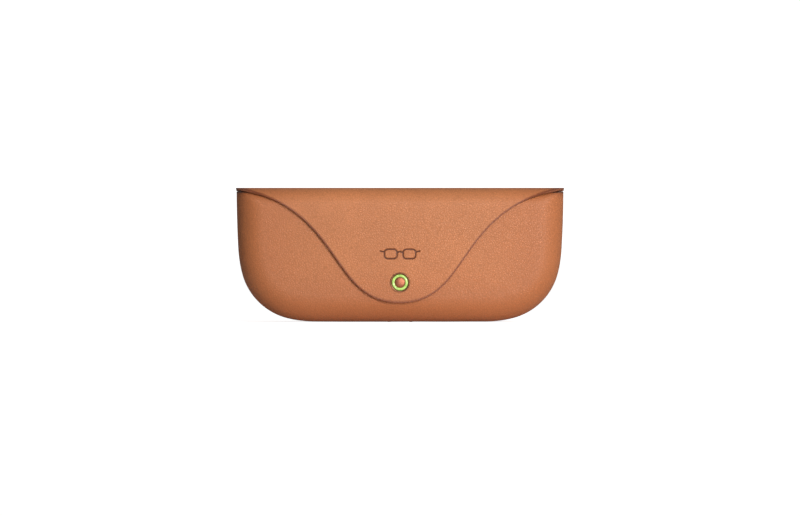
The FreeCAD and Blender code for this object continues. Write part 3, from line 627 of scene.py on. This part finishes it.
def glow_material(name, rgb):
    """Clear light pipe lit from behind, brighter over each lamp."""
    material, tree, shader = start_material(name)
    uneven = tree.node("ShaderNodeTexNoise", {"Vector": tree.place(), "Scale": 700.0, "Detail": 1.0})
    lamps = tree.remap(uneven.outputs["Fac"], 0.35, 0.65)
    tree.feed(shader.inputs["Base Color"], tree.mix(lamps, shade(rgb, 0.85), shade(rgb, 1)))
    tree.feed(shader.inputs["Emission Color"],
              tree.mix(lamps, shade(rgb, 0.82), shade(settings().ring_highlight, 1)))
    shader.inputs["Emission Strength"].default_value = settings().ring_glow
    shader.inputs["Roughness"].default_value = 0.18
    shader.inputs["Coat Weight"].default_value = 0.6
    return material


def board_material(name, rgb):
    """Solder resist with tracks and plated pads showing through."""
    material, tree, shader = start_material(name)
    place = tree.place()
    tracks = tree.node("ShaderNodeTexBrick", {"Vector": place, "Scale": 900.0, "Color1": (0, 0, 0, 1),
                                              "Color2": (0, 0, 0, 1), "Mortar": (1, 1, 1, 1),
                                              "Mortar Size": 0.06})
    pads = tree.node("ShaderNodeTexVoronoi", {"Vector": place, "Scale": 420.0, "Randomness": 0.6})
    plated = tree.math("LESS_THAN", pads.outputs["Distance"], 0.14)
    tracked = tree.mix(tracks.outputs["Fac"], shade(rgb, 1), shade(rgb, 2.2))
    tree.feed(shader.inputs["Base Color"], tree.mix(plated, tracked, (0.80, 0.62, 0.30, 1)))
    tree.feed(shader.inputs["Metallic"], plated)
    tree.feed(shader.inputs["Roughness"], tree.remap(plated, 0, 1, 0.35, 0.25))
    add_bump(tree, shader, tracks.outputs["Fac"], 0.3, 0.00003)
    return material


# finish: its maker, its material's name, its colour or the setting that holds it, and the rest
FINISHES = {
    "leather": (leather_material, "case_leather", "leather_colour"),
    "painted_edge": (edge_paint_material, "painted_edge", "edge_colour"),
    "leather_lining": (nap_material, "flap_suede", "suede_colour"),
    "lining": (nap_material, "cavity_microfibre", "lining_colour"),
    "tub_plastic": (plastic_material, "tub_plastic", (0.035, 0.033, 0.032), 0.55, 0.00004, 4200.0),
    "trim_plastic": (plastic_material, "trim_plastic", "trim_colour", 0.42),
    "black_plastic": (plastic_material, "black_plastic", (0.018, 0.017, 0.017), 0.38, 0.00003),
    "board_material": (board_material, "circuit_board", (0.012, 0.075, 0.036)),
    "chip_plastic": (plastic_material, "chip_plastic", (0.014, 0.014, 0.015), 0.5),
    "flex_film": (plastic_material, "flex_film", (0.34, 0.12, 0.02), 0.22, 0.00001, 3000.0, 0.4),
    "wire_jacket": (plastic_material, "wire_jacket", (0.42, 0.02, 0.015), 0.4),
    "battery_foil": (metal_material, "battery_foil", (0.62, 0.63, 0.65), 0.38, 2500.0, 0.25),
    "foam": (nap_material, "closed_cell_foam", (0.03, 0.03, 0.032), 0.95, 0.1),
    "steel": (metal_material, "turned_steel", (0.56, 0.56, 0.57), 0.3),
    "bezel_metal": (metal_material, "bronze_bezel", (0.26, 0.115, 0.062), 0.45, 7000.0, 0.3),
    "cap_metal": (metal_material, "copper_cap", "cap_colour", 0.48, 7000.0, 0.25),
    "gold_plate": (metal_material, "gold_plate", (0.90, 0.62, 0.24), 0.16, 12000.0, 0.06),
    "magnet_plate": (metal_material, "nickel_plate", (0.66, 0.65, 0.62), 0.18, 8000.0, 0.1),
    "ring_plastic": (glow_material, "lit_ring", "ring_colour"),
    "guide_plastic": (plastic_material, "milky_guide", (0.74, 0.77, 0.72), 0.28, 0.00001, 3000.0, 0.5),
    "diode_body": (plastic_material, "diode_body", (0.80, 0.80, 0.66), 0.3),
    "stiffener": (plastic_material, "fibreboard", (0.25, 0.21, 0.16), 0.8, 0.00006, 2400.0),
}
MATERIALS = {}


def material_for(finish):
    """The material of that finish, made the first time that a piece needs it."""
    if finish not in MATERIALS:
        maker, name, rgb, *rest = FINISHES[finish]
        if isinstance(rgb, str):
            rgb = tuple(getattr(settings(), rgb))
        MATERIALS[finish] = maker(name, rgb, *rest)
    return MATERIALS[finish]


# ------------------------------------------------------------------ settings
def colour_setting(name, description, default):
    return FloatVectorProperty(name=name, description=description, subtype="COLOR", size=3, min=0, max=1,
                               default=default)


class CaseSettings(bpy.types.PropertyGroup):
    """Sizes and colours of the case's visible skin."""
    leather_colour: colour_setting("Leather", "Colour of the tanned hide", (0.562, 0.199, 0.071))
    edge_colour: colour_setting("Painted edge", "Colour of the flap's cut edge", (0.215, 0.066, 0.026))
    suede_colour: colour_setting("Flap lining", "Colour of the flap's inner face", (0.30, 0.115, 0.058))
    lining_colour: colour_setting("Cavity lining", "Colour of the microfibre inside", (0.060, 0.040, 0.032))
    trim_colour: colour_setting("Mouth trim", "Colour of the moulded rim", (0.165, 0.066, 0.036))
    cap_colour: colour_setting("Snap cap", "Colour of the domed cap", (0.46, 0.17, 0.095))
    ring_colour: colour_setting("Light ring", "Colour of the lit ring", (0.36, 0.55, 0.12))
    ring_highlight: colour_setting("Light ring peak", "Colour over each lamp", (0.52, 0.72, 0.22))
    ring_glow: FloatProperty(name="Glow", description="How brightly the ring is lit", min=0, max=10,
                             default=0.5)
    crown: FloatProperty(name="Crown", description="How far the padded faces bulge", subtype="DISTANCE",
                         unit="LENGTH", min=0, max=0.002, default=0.0002)
    stamp_depth: FloatProperty(name="Stamp depth", description="Depth of the stamped spectacles",
                               subtype="DISTANCE", unit="LENGTH", min=0, max=0.0006, default=0.00032)
    stamp_width: FloatProperty(name="Stamp width", description="Overall width of the stamped spectacles",
                               subtype="DISTANCE", unit="LENGTH", min=0.005, max=0.04, default=0.0195)
    flap_columns: IntProperty(name="Flap columns", description="Faces across the flap", min=40, max=260,
                              default=150)


# ------------------------------------------------------------------ operators
class FrameFinishes(bpy.types.Operator):
    """Give every piece of the frame its finish"""
    bl_idname = "glasses_case.frame_finishes"
    bl_label = "Finish the frame's pieces"

    def execute(self, context):
        slots = {part["node"]: part["material_slot"] for part in frame["record"]["subparts"]}
        for name, obj in frame["nodes"].items():
            material = material_for(slots[name])
            if not obj.material_slots:
                raise RuntimeError(f"{name} has no material slot")
            for held in obj.material_slots:
                held.material = material
        return {"FINISHED"}


class BodyCovers(bpy.types.Operator):
    """Wrap the front and back of the body in leather"""
    bl_idname = "glasses_case.body_covers"
    bl_label = "Body leather"

    def execute(self, context):
        for name, node, face_y, sense, scooped in (
                ("front_cover_leather", "front_cover", BODY_FRONT, 1, True),
                ("back_cover_leather", "back_cover", BODY_BACK, -1, False)):
            bm = bmesh.new()
            half_shell(bm, 0.0, face_y, sense, True, COVER_FACES)
            face_out(bm, Vector((0, face_y - sense, 0.03)))
            self.tuck_seam(bm)
            punch(bm, slot_hole("port_bezel"))
            if scooped:
                window_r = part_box("light_guide")[1].x + 0.05 * MM
                punch(bm, round_hole(LIGHT_Z, window_r, (-1, BODY_FRONT + 2 * MM)))
            else:
                low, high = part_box("button_bezel")
                punch(bm, round_hole((low.z + high.z) / 2, high.x + 0.05 * MM, (BODY_BACK - 2 * MM, 1)))
            soft_waves(bm, WAVE_DEPTH, 55.0, 3.0 + sense,
                       lambda p: smooth(abs(p.y - SEAM_Y), 0, 6 * MM) * (1 - smooth(p.z, 45 * MM, 58 * MM)))
            thicken(bm, COVER_T, 0.0)
            self.paint_edges(bm, scooped)
            # painted shade at the ends and base, and a little over the whole cover
            paint_shade_mask(bm, 0.15)
            obj = make_object(bm, name, [material_for("leather"), material_for("painted_edge")], "case")
            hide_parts(node)
        return {"FINISHED"}

    @staticmethod
    def tuck_seam(bm):
        """Turn the last of the side inwards, so that the two halves meet in a fine groove."""
        for vert in bm.verts:
            if abs(vert.co.y - SEAM_Y) < 1e-6:
                inward = Vector((0, vert.co.y, 0.045)) - vert.co
                vert.co += inward.normalized() * 0.22 * MM

    @staticmethod
    def paint_edges(bm, front):
        """Darken the hide a little towards the rim."""
        layer = tag_layer(bm, "edge")
        for vert in bm.verts:
            drop = scoop_drop(vert.co.x) if front else 0.0
            vert[layer] = 0.5 * (1 - smooth(COVER_TOP - vert.co.z - drop, 0, 2.0 * MM))


class FlapTop(bpy.types.Operator):
    """Lay the flap's flat top and its fold down onto the back"""
    bl_idname = "glasses_case.flap_top"
    bl_label = "Flap top"

    def execute(self, context):
        leather = self.plate("flap_top_leather", 0.0, FLAP_LEATHER, 0.0, "leather", True)
        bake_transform(leather)
        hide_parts("lid_leather", "rear_hinge_strip")
        lining = self.plate("flap_top_lining", FLAP_LEATHER, FLAP_THICK - FLAP_LEATHER, 0.1 * MM,
                            "leather_lining", False)
        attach(lining, "lid")
        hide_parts("lid_lining")
        self.pad()
        return {"FINISHED"}

    def plate(self, name, depth, thickness, shy, slot, folded):
        bm = bmesh.new()
        hinge_edge = HINGE_Y if folded else HINGE_Y - 0.9 * MM
        columns, rows = FLAP_TOP_FACES
        grid = bmesh.ops.create_grid(bm, x_segments=columns, y_segments=rows, size=1.0)["verts"]
        half = HALF_FLAP - shy
        corner = half - HALF_HINGE
        for vert in grid:
            x = vert.co.x * half
            beyond = max(abs(x) - HALF_HINGE, 0.0) / corner
            rounding = 1 - math.sqrt(max(1 - beyond ** 2, 0.0))
            back = hinge_edge - (EDGE_ROLL + LID_HIGH.y - HINGE_Y) * rounding
            share = (vert.co.y + 1) / 2
            vert.co = Vector((x, FLAP_JOIN_Y + (back - FLAP_JOIN_Y) * share, FLAP_TOP - depth))
        if folded:
            self.fold_down(bm)
            # painted shade towards the flap's ends
            paint_shade_mask(bm)
        face_out(bm, Vector((0, 0, 1)))
        thicken(bm, thickness, 0.22 * MM, lambda p: p.y < FLAP_JOIN_Y + 0.01 * MM
                or (abs(p.x) < HALF_HINGE + 0.1 * MM and p.z < HINGE_Z))
        self.paint(bm)
        obj = make_object(bm, name, [material_for(slot), material_for("painted_edge")])
        return obj

    @staticmethod
    def fold_down(bm):
        """Draw the plate's back edge round the fold and down to the back leather."""
        row = [e for e in bm.edges if e.is_boundary and all(
            abs(v.co.y - HINGE_Y) < 1e-5 and abs(v.co.x) <= HALF_HINGE + 1e-4 for v in e.verts)]
        if not row:
            raise RuntimeError("the flap's back edge was not found")
        r, steps = FLAP_THICK / 2, 8
        path = [(HINGE_Y + r * math.sin(a), HINGE_Z + r * math.cos(a))
                for a in (math.pi / 2 * n / steps for n in range(1, steps + 1))]
        drop_to = COVER_TOP + 0.02 * MM
        path += [(HINGE_Y + r, HINGE_Z + (drop_to - HINGE_Z) * n / 3) for n in range(1, 4)]
        for y, z in path:
            fresh, row = extend(bm, row)
            for vert in fresh:
                vert.co.y, vert.co.z = y, z

    @staticmethod
    def paint(bm):
        layer = tag_layer(bm, "edge")
        for vert in bm.verts:
            vert[layer] = 0.8 * (1 - smooth(HALF_FLAP - abs(vert.co.x), 0.1 * MM, 1.0 * MM))

    @staticmethod
    def pad():
        """Raised pad under the lid, over its stiffener."""
        low = Vector((PAD_LOW.x - PAD_LAP, PAD_LOW.y - PAD_LAP, PAD_LOW.z - PAD_LAP))
        high = Vector((PAD_HIGH.x + PAD_LAP, PAD_HIGH.y + PAD_LAP, FLAP_TOP - FLAP_THICK + 0.1 * MM))
        bm = bmesh.new()
        bmesh.ops.create_cube(bm, size=1.0)
        for vert in bm.verts:
            vert.co = Vector(tuple(low[i] + (vert.co[i] + 0.5) * (high[i] - low[i]) for i in range(3)))
        upright = [e for e in bm.edges if abs(e.verts[0].co.z - e.verts[1].co.z) > 1e-6]
        bmesh.ops.bevel(bm, geom=upright, offset=PAD_CORNER, offset_type="OFFSET", segments=10, profile=0.5,
                        affect="EDGES", material=-1)
        under = [e for e in bm.edges if all(abs(v.co.z - low.z) < 1e-6 for v in e.verts)]
        bmesh.ops.bevel(bm, geom=under, offset=PAD_ROUND, offset_type="OFFSET", segments=5, profile=0.5,
                        affect="EDGES", material=-1)
        bmesh.ops.recalc_face_normals(bm, faces=bm.faces)
        obj = make_object(bm, "flap_pad", [material_for("leather_lining")], "lid")


def stamp_distance(x, z):
    """Distance to the lines of a plain pair of spectacles."""
    unit = settings().stamp_width / 19.5
    x, z = abs(x / unit), z / unit
    lens_x, half_w, half_h, corner = 4.65, 3.15, 2.35, 1.7
    dx, dz = abs(x - lens_x) - half_w + corner, abs(z) - half_h + corner
    lens = abs(math.hypot(max(dx, 0), max(dz, 0)) + min(max(dx, dz), 0) - corner)
    bridge_r = 1.9
    bridge = abs(math.hypot(x, z + 0.75) - bridge_r) if z > 0.35 else math.hypot(x - 1.55, z - 0.35)
    t = min(max((x - 7.75) / 2.0, 0), 1)
    arm = math.hypot(x - (7.75 + 2.0 * t), z - (1.05 + 0.35 * t))
    return min(lens, bridge, arm) * unit


class FlapFront(bpy.types.Operator):
    """Bend the flap over the front edge and hang its tongue, with the stamped spectacles"""
    bl_idname = "glasses_case.flap_front"
    bl_label = "Flap front"

    def execute(self, context):
        self.skin("flap_front_leather", 0.0, FLAP_LEATHER, 0.0, "leather",
                  ("tongue_leather", "front_fold_strip"), True)
        self.skin("flap_front_lining", FLAP_LEATHER, FLAP_THICK - FLAP_LEATHER, 0.45 * MM, "leather_lining",
                  ("tongue_lining",), False)
        return {"FINISHED"}

    def skin(self, name, depth, thickness, shy, slot, nodes, outer):
        s = settings()
        height = tongue_edge()
        bm = bmesh.new()
        tag_layer(bm, "edge")
        tag_layer(bm, "pressed")
        rows = 90 if outer else 60
        columns = s.flap_columns if outer else int(s.flap_columns * 0.7)
        grid = bmesh.ops.create_grid(bm, x_segments=columns, y_segments=rows, size=1.0)["verts"]
        half = HALF_FLAP - shy
        for vert in grid:
            x = vert.co.x * half
            share = (1 - vert.co.y) / 2
            edge_z = min(height(x) + shy, FLAP_TOP)
            run = max(flap_run(edge_z), FLAP_JOIN_Y - BEND_Y) * share
            y, z = flap_section(run, depth)
            vert.co = Vector((x, y, z))
        if outer:
            self.refine_stamp(bm)
        for vert in bm.verts:
            vert.co.y -= crown(vert.co.x, vert.co.z)
        if outer:
            self.press_stamp(bm)
        punch(bm, round_hole(LIGHT_Z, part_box("snap_bezel")[1].x + SNAP_GAP, (-1, FLAP_FRONT + 3 * MM)))
        face_out(bm, Vector((0, -1, 0.03)))
        thicken(bm, thickness, 0.24 * MM if outer else 0.14 * MM, lambda p: p.y > FLAP_JOIN_Y - 0.01 * MM)
        self.paint(bm, height)
        # painted shade towards the ends and the bottom
        paint_shade_mask(bm)
        obj = make_object(bm, name, [material_for(slot), material_for("painted_edge")])
        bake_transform(obj)
        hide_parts(*nodes)

    @staticmethod
    def refine_stamp(bm):
        """Finer faces where the spectacles are stamped."""
        half_w, half_h = settings().stamp_width / 2 + 1.5 * MM, 4.2 * MM
        inside = [e for e in bm.edges if all(
            abs(v.co.x) < half_w and abs(v.co.z - STAMP_Z) < half_h and v.co.y < FLAP_FRONT + MM
            for v in e.verts)]
        bmesh.ops.subdivide_edges(bm, edges=inside, cuts=4, use_grid_fill=True)

    @staticmethod
    def press_stamp(bm):
        pressed = tag_layer(bm, "pressed")
        depth = settings().stamp_depth
        for vert in bm.verts:
            if abs(vert.co.x) > 12 * MM or abs(vert.co.z - STAMP_Z) > 6 * MM or vert.co.y > FLAP_FRONT + MM:
                continue
            near = 1 - smooth(stamp_distance(vert.co.x, vert.co.z - STAMP_Z), 0.22 * MM, 0.55 * MM)
            vert[pressed] = near
            vert.co.y += depth * near

    @staticmethod
    def paint(bm, height):
        layer, pressed = tag_layer(bm, "edge"), tag_layer(bm, "pressed")
        for vert in bm.verts:
            if vert.co.y > BEND_Y:
                gap = HALF_FLAP - abs(vert.co.x)
            else:
                slope = (height(vert.co.x + MM) - height(vert.co.x - MM)) / (2 * MM)
                gap = (vert.co.z - height(vert.co.x)) / math.sqrt(1 + slope * slope)
            vert[layer] = 1 - smooth(gap, 0.3 * MM, 1.2 * MM)
            if vert.co.y > FLAP_FRONT + 0.6 * MM:
                vert[pressed] = 0.0


class Snap(bpy.types.Operator):
    """Turn the snap: bezel, lit ring and domed cap on the flap, and their seats behind it and on the body"""
    bl_idname = "glasses_case.snap"
    bl_label = "Snap and light ring"

    def execute(self, context):
        outer_r, inner_r = RING_HIGH.x - 0.1 * MM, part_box("snap_cap")[1].x
        bezel_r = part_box("snap_bezel")[1].x
        bulge = crown(0, LIGHT_Z)
        face = FLAP_FRONT - bulge
        back = FLAP_FRONT + FLAP_THICK + SNAP_GAP
        cap_back = back - CAP_SHORT
        bezel = turned("snap_bezel_ring", [
            (bezel_r, back), (bezel_r, face + 0.02 * MM), (bezel_r - 0.1 * MM, face - 0.08 * MM),
            (bezel_r - 0.3 * MM, face - 0.11 * MM), (outer_r + 0.35 * MM, face - 0.02 * MM),
            (outer_r + 0.14 * MM, face + 0.22 * MM), (outer_r + SNAP_GAP, face + 0.5 * MM),
            (outer_r + SNAP_GAP, back)], "bezel_metal", "tongue")
        crest = RING_LOW.y
        middle, half = (outer_r + inner_r) / 2, (outer_r - inner_r) / 2 - SNAP_GAP
        round_top = [(middle + half * math.cos(a), crest + 0.5 * MM * (1 - math.sin(a)))
                     for a in (math.pi * n / 14 for n in range(15))]
        ring = turned("lit_ring", [(middle + half, back), *round_top, (middle - half, back)], "ring_plastic",
                      "tongue")
        cap_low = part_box("snap_cap")[0].y
        cap_r = inner_r - 0.04 * MM
        rise = face - cap_low
        dome = [(cap_r * math.sin(a), cap_low + rise * (1 - math.cos(a)) * 0.85)
                for a in (math.pi / 2 * n / 14 for n in range(15))]
        cap = turned("domed_cap", [*dome, (cap_r, cap_back), (0, cap_back)], "cap_metal", "tongue")
        seat_back = BODY_FRONT - 0.2 * MM
        keeper_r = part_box("snap_keeper")[1].x
        keeper = turned("snap_keeper_disc", [
            (0, seat_back), (keeper_r - 0.4 * MM, seat_back), (keeper_r, seat_back - 0.08 * MM),
            (keeper_r, cap_back), (0, cap_back)], "steel", "tongue")
        window_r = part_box("light_guide")[1].x
        magnet_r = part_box("snap_catch")[1].x
        proud = BODY_FRONT - bulge - 0.06 * MM
        guide_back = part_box("light_guide")[1].y
        window = turned("light_window", [
            (window_r, guide_back), (window_r, proud + 0.1 * MM), (window_r - 0.15 * MM, proud),
            (magnet_r + 0.15 * MM, proud), (magnet_r + SNAP_GAP, proud + 0.1 * MM),
            (magnet_r + SNAP_GAP, guide_back)], "guide_plastic", "case")
        catch = turned("snap_catch_disc", [
            (0, proud + 0.02 * MM), (magnet_r - 0.3 * MM, proud + 0.02 * MM), (magnet_r, proud + 0.2 * MM),
            (magnet_r, BODY_FRONT + 0.3 * MM), (0, BODY_FRONT + 0.3 * MM)], "cap_metal", "case")
        for obj, node, slot in (
                (bezel, "snap_bezel", "bezel_metal"), (ring, "snap_light_ring", "ring_plastic"),
                (cap, "snap_cap", "cap_metal"), (keeper, "snap_keeper", "steel"),
                (window, "light_guide", "guide_plastic"), (catch, "snap_catch", "cap_metal")):
            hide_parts(node)
        return {"FINISHED"}


class CavityLining(bpy.types.Operator):
    """Line the cavity with microfibre, down to its floor"""
    bl_idname = "glasses_case.cavity_lining"
    bl_label = "Cavity lining"

    def execute(self, context):
        bm = bmesh.new()
        corner = 1.6 * MM
        floor = FLOOR_Z + LINING_T + 0.1 * MM
        half_shell(bm, WALL, BODY_FRONT + WALL, 1, False, LINING_FACES)
        half_shell(bm, WALL, BODY_BACK - WALL, -1, False, LINING_FACES)
        bmesh.ops.remove_doubles(bm, verts=bm.verts, dist=0.02 * MM)
        everything = list(bm.verts) + list(bm.edges) + list(bm.faces)
        cut = bmesh.ops.bisect_plane(bm, geom=everything, dist=1e-7, plane_co=(0, 0, floor + corner),
                                     plane_no=UP, clear_inner=True)["geom_cut"]
        hem = [g for g in cut if isinstance(g, bmesh.types.BMEdge)]
        face_out(bm, Vector((0, SEAM_Y, 0.04)))
        bm.normal_update()
        for step in range(1, 7):
            before = math.pi / 12 * (step - 1)
            angle = math.pi / 12 * step
            fresh, hem = extend(bm, hem)
            inward = {v: self.inward(v) for v in fresh}
            for vert in fresh:
                vert.co += inward[vert] * corner * (math.cos(before) - math.cos(angle))
                vert.co.z = floor + corner * (1 - math.sin(angle))
        if not bmesh.ops.triangle_fill(bm, use_beauty=True, edges=hem)["geom"]:
            raise RuntimeError("the cavity's floor was not closed")
        face_out(bm, Vector((0, SEAM_Y, 0.04)))
        for node, wall in (("light_housing", (BODY_FRONT, BODY_FRONT + WALL + 0.2 * MM)),
                           ("button_housing", (BODY_BACK - WALL - 0.2 * MM, BODY_BACK))):
            low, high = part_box(node)
            punch(bm, round_hole((low.z + high.z) / 2, high.x + 0.05 * MM, wall))
        soft_waves(bm, WAVE_DEPTH, 70.0, 9.0, lambda p: smooth(COVER_TOP - p.z, 8 * MM, 16 * MM), 1.0)
        bmesh.ops.dissolve_degenerate(bm, edges=bm.edges, dist=0.005 * MM)
        obj = make_object(bm, "cavity_microfibre", [material_for("lining")], "case")
        wall = obj.modifiers.new("wall", "SOLIDIFY")
        wall.thickness = LINING_T
        wall.offset = -1.0
        wall.use_even_offset = False
        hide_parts("cavity_lining")
        return {"FINISHED"}

    @staticmethod
    def inward(vert):
        """Level direction from the wall into the cavity."""
        along = [e.other_vert(vert).co - vert.co for e in vert.link_edges
                 if abs(e.other_vert(vert).co.z - vert.co.z) < 1e-7]
        if len(along) < 2:
            return Vector((-vert.co.x, SEAM_Y - vert.co.y, 0)).normalized()
        run = (along[0] - along[1]).normalized()
        side = Vector((-run.y, run.x, 0))
        return side if side.dot(Vector((-vert.co.x, SEAM_Y - vert.co.y, 0))) > 0 else -side


class Stage(bpy.types.Operator):
    """Pale floor, soft studio light and the camera"""
    bl_idname = "glasses_case.stage"
    bl_label = "Floor, light and camera"

    def execute(self, context):
        self.floor()
        self.lamp("key_panel", (0.30, -0.76, 0.20), 0.4, KEY_POWER)
        self.lamp("high_panel", (0.25, -0.6, 0.9), 0.6, HIGH_POWER)
        self.room(context)
        context.scene.view_settings.view_transform = "Standard"
        self.camera(context)
        return {"FINISHED"}

    @staticmethod
    def room(context):
        """White to look at, but it lights the case softly, and more from the right than from the left."""
        world = bpy.data.worlds.new("pale_room")
        world.use_nodes = True
        tree = Tree(world.node_tree)
        back = world.node_tree.nodes["Background"]
        seen = tree.node("ShaderNodeLightPath").outputs["Is Camera Ray"]
        way = tree.node("ShaderNodeTexCoord").outputs["Generated"]
        split = tree.node("ShaderNodeSeparateXYZ", {"Vector": way}).outputs
        sided = tree.math("ADD", tree.math("MULTIPLY", split["X"], 0.75),
                          tree.math("MULTIPLY", split["Z"], 0.35))
        soft = tree.remap(sided, -0.6, 0.8, ROOM_LOW, ROOM_HIGH)
        tree.feed(back.inputs["Strength"], tree.math("ADD", soft, seen))
        back.inputs["Color"].default_value = (1, 1, 1, 1)
        context.scene.world = world

    @staticmethod
    def floor():
        """Pale to look at, while it throws little light up under the case."""
        bm = bmesh.new()
        bmesh.ops.create_grid(bm, x_segments=1, y_segments=1, size=30.0)
        bmesh.ops.translate(bm, verts=bm.verts, vec=(0, 0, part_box("port_bezel")[0].z - 0.02 * MM))
        material, tree, shader = start_material("pale_floor")
        seen = tree.node("ShaderNodeLightPath").outputs["Is Camera Ray"]
        tree.feed(shader.inputs["Base Color"], tree.mix(seen, (0.90, 0.87, 0.84, 1), (0.9, 0.9, 0.9, 1)))
        tree.feed(shader.inputs["Emission Color"], tree.mix(seen, (0, 0, 0, 1), (1, 1, 1, 1)))
        shader.inputs["Emission Strength"].default_value = 0.82
        shader.inputs["Roughness"].default_value = 0.8
        shader.inputs["Specular IOR Level"].default_value = 0.1
        obj = make_object(bm, "floor", [material])

    @staticmethod
    def lamp(name, place, size, power):
        light = bpy.data.lights.new(name, "AREA")
        light.shape = "DISK"
        light.size = size
        light.energy = power
        obj = bpy.data.objects.new(name, light)
        obj.location = place
        aim = Vector((0, 0, 0.035)) - Vector(place)
        obj.rotation_euler = aim.to_track_quat("-Z", "Y").to_euler()
        bpy.context.scene.collection.objects.link(obj)

    @staticmethod
    def camera(context):
        """Straight at the front, with a long lens."""
        lens = bpy.data.cameras.new("camera")
        lens.lens = LENS_LENGTH
        lens.sensor_width = SENSOR_WIDTH
        plane_y = BODY_FRONT + EDGE_ROLL
        distance = VIEW_WIDTH * LENS_LENGTH / SENSOR_WIDTH
        obj = bpy.data.objects.new("camera", lens)
        obj.location = (0.0, plane_y - distance, BASE_Z + EYE_HEIGHT)
        obj.rotation_euler = (math.pi / 2, 0, 0)
        context.scene.collection.objects.link(obj)
        context.scene.camera = obj


OPERATORS = (FrameFinishes, BodyCovers, FlapTop, FlapFront, Snap, CavityLining, Stage)


class CasePanel(bpy.types.Panel):
    """Lists the case's sizes, colours and pieces"""
    bl_idname = "VIEW3D_PT_glasses_case"
    bl_label = "Glasses charging case"
    bl_space_type = "VIEW_3D"
    bl_region_type = "UI"
    bl_category = "Case"

    def draw(self, context):
        for name in CaseSettings.__annotations__:
            self.layout.prop(context.scene.glasses_case, name)
        for operator in OPERATORS:
            self.layout.operator(operator.bl_idname)


def register():
    for item in (CaseSettings, *OPERATORS, CasePanel):
        bpy.utils.register_class(item)
    bpy.types.Scene.glasses_case = PointerProperty(type=CaseSettings)


def unregister():
    del bpy.types.Scene.glasses_case
    for item in reversed((CaseSettings, *OPERATORS, CasePanel)):
        bpy.utils.unregister_class(item)


def main():
    register()
    for operator in OPERATORS:
        group, action = operator.bl_idname.split(".")
        getattr(getattr(bpy.ops, group), action)()


if __name__ == "__main__":
    main()
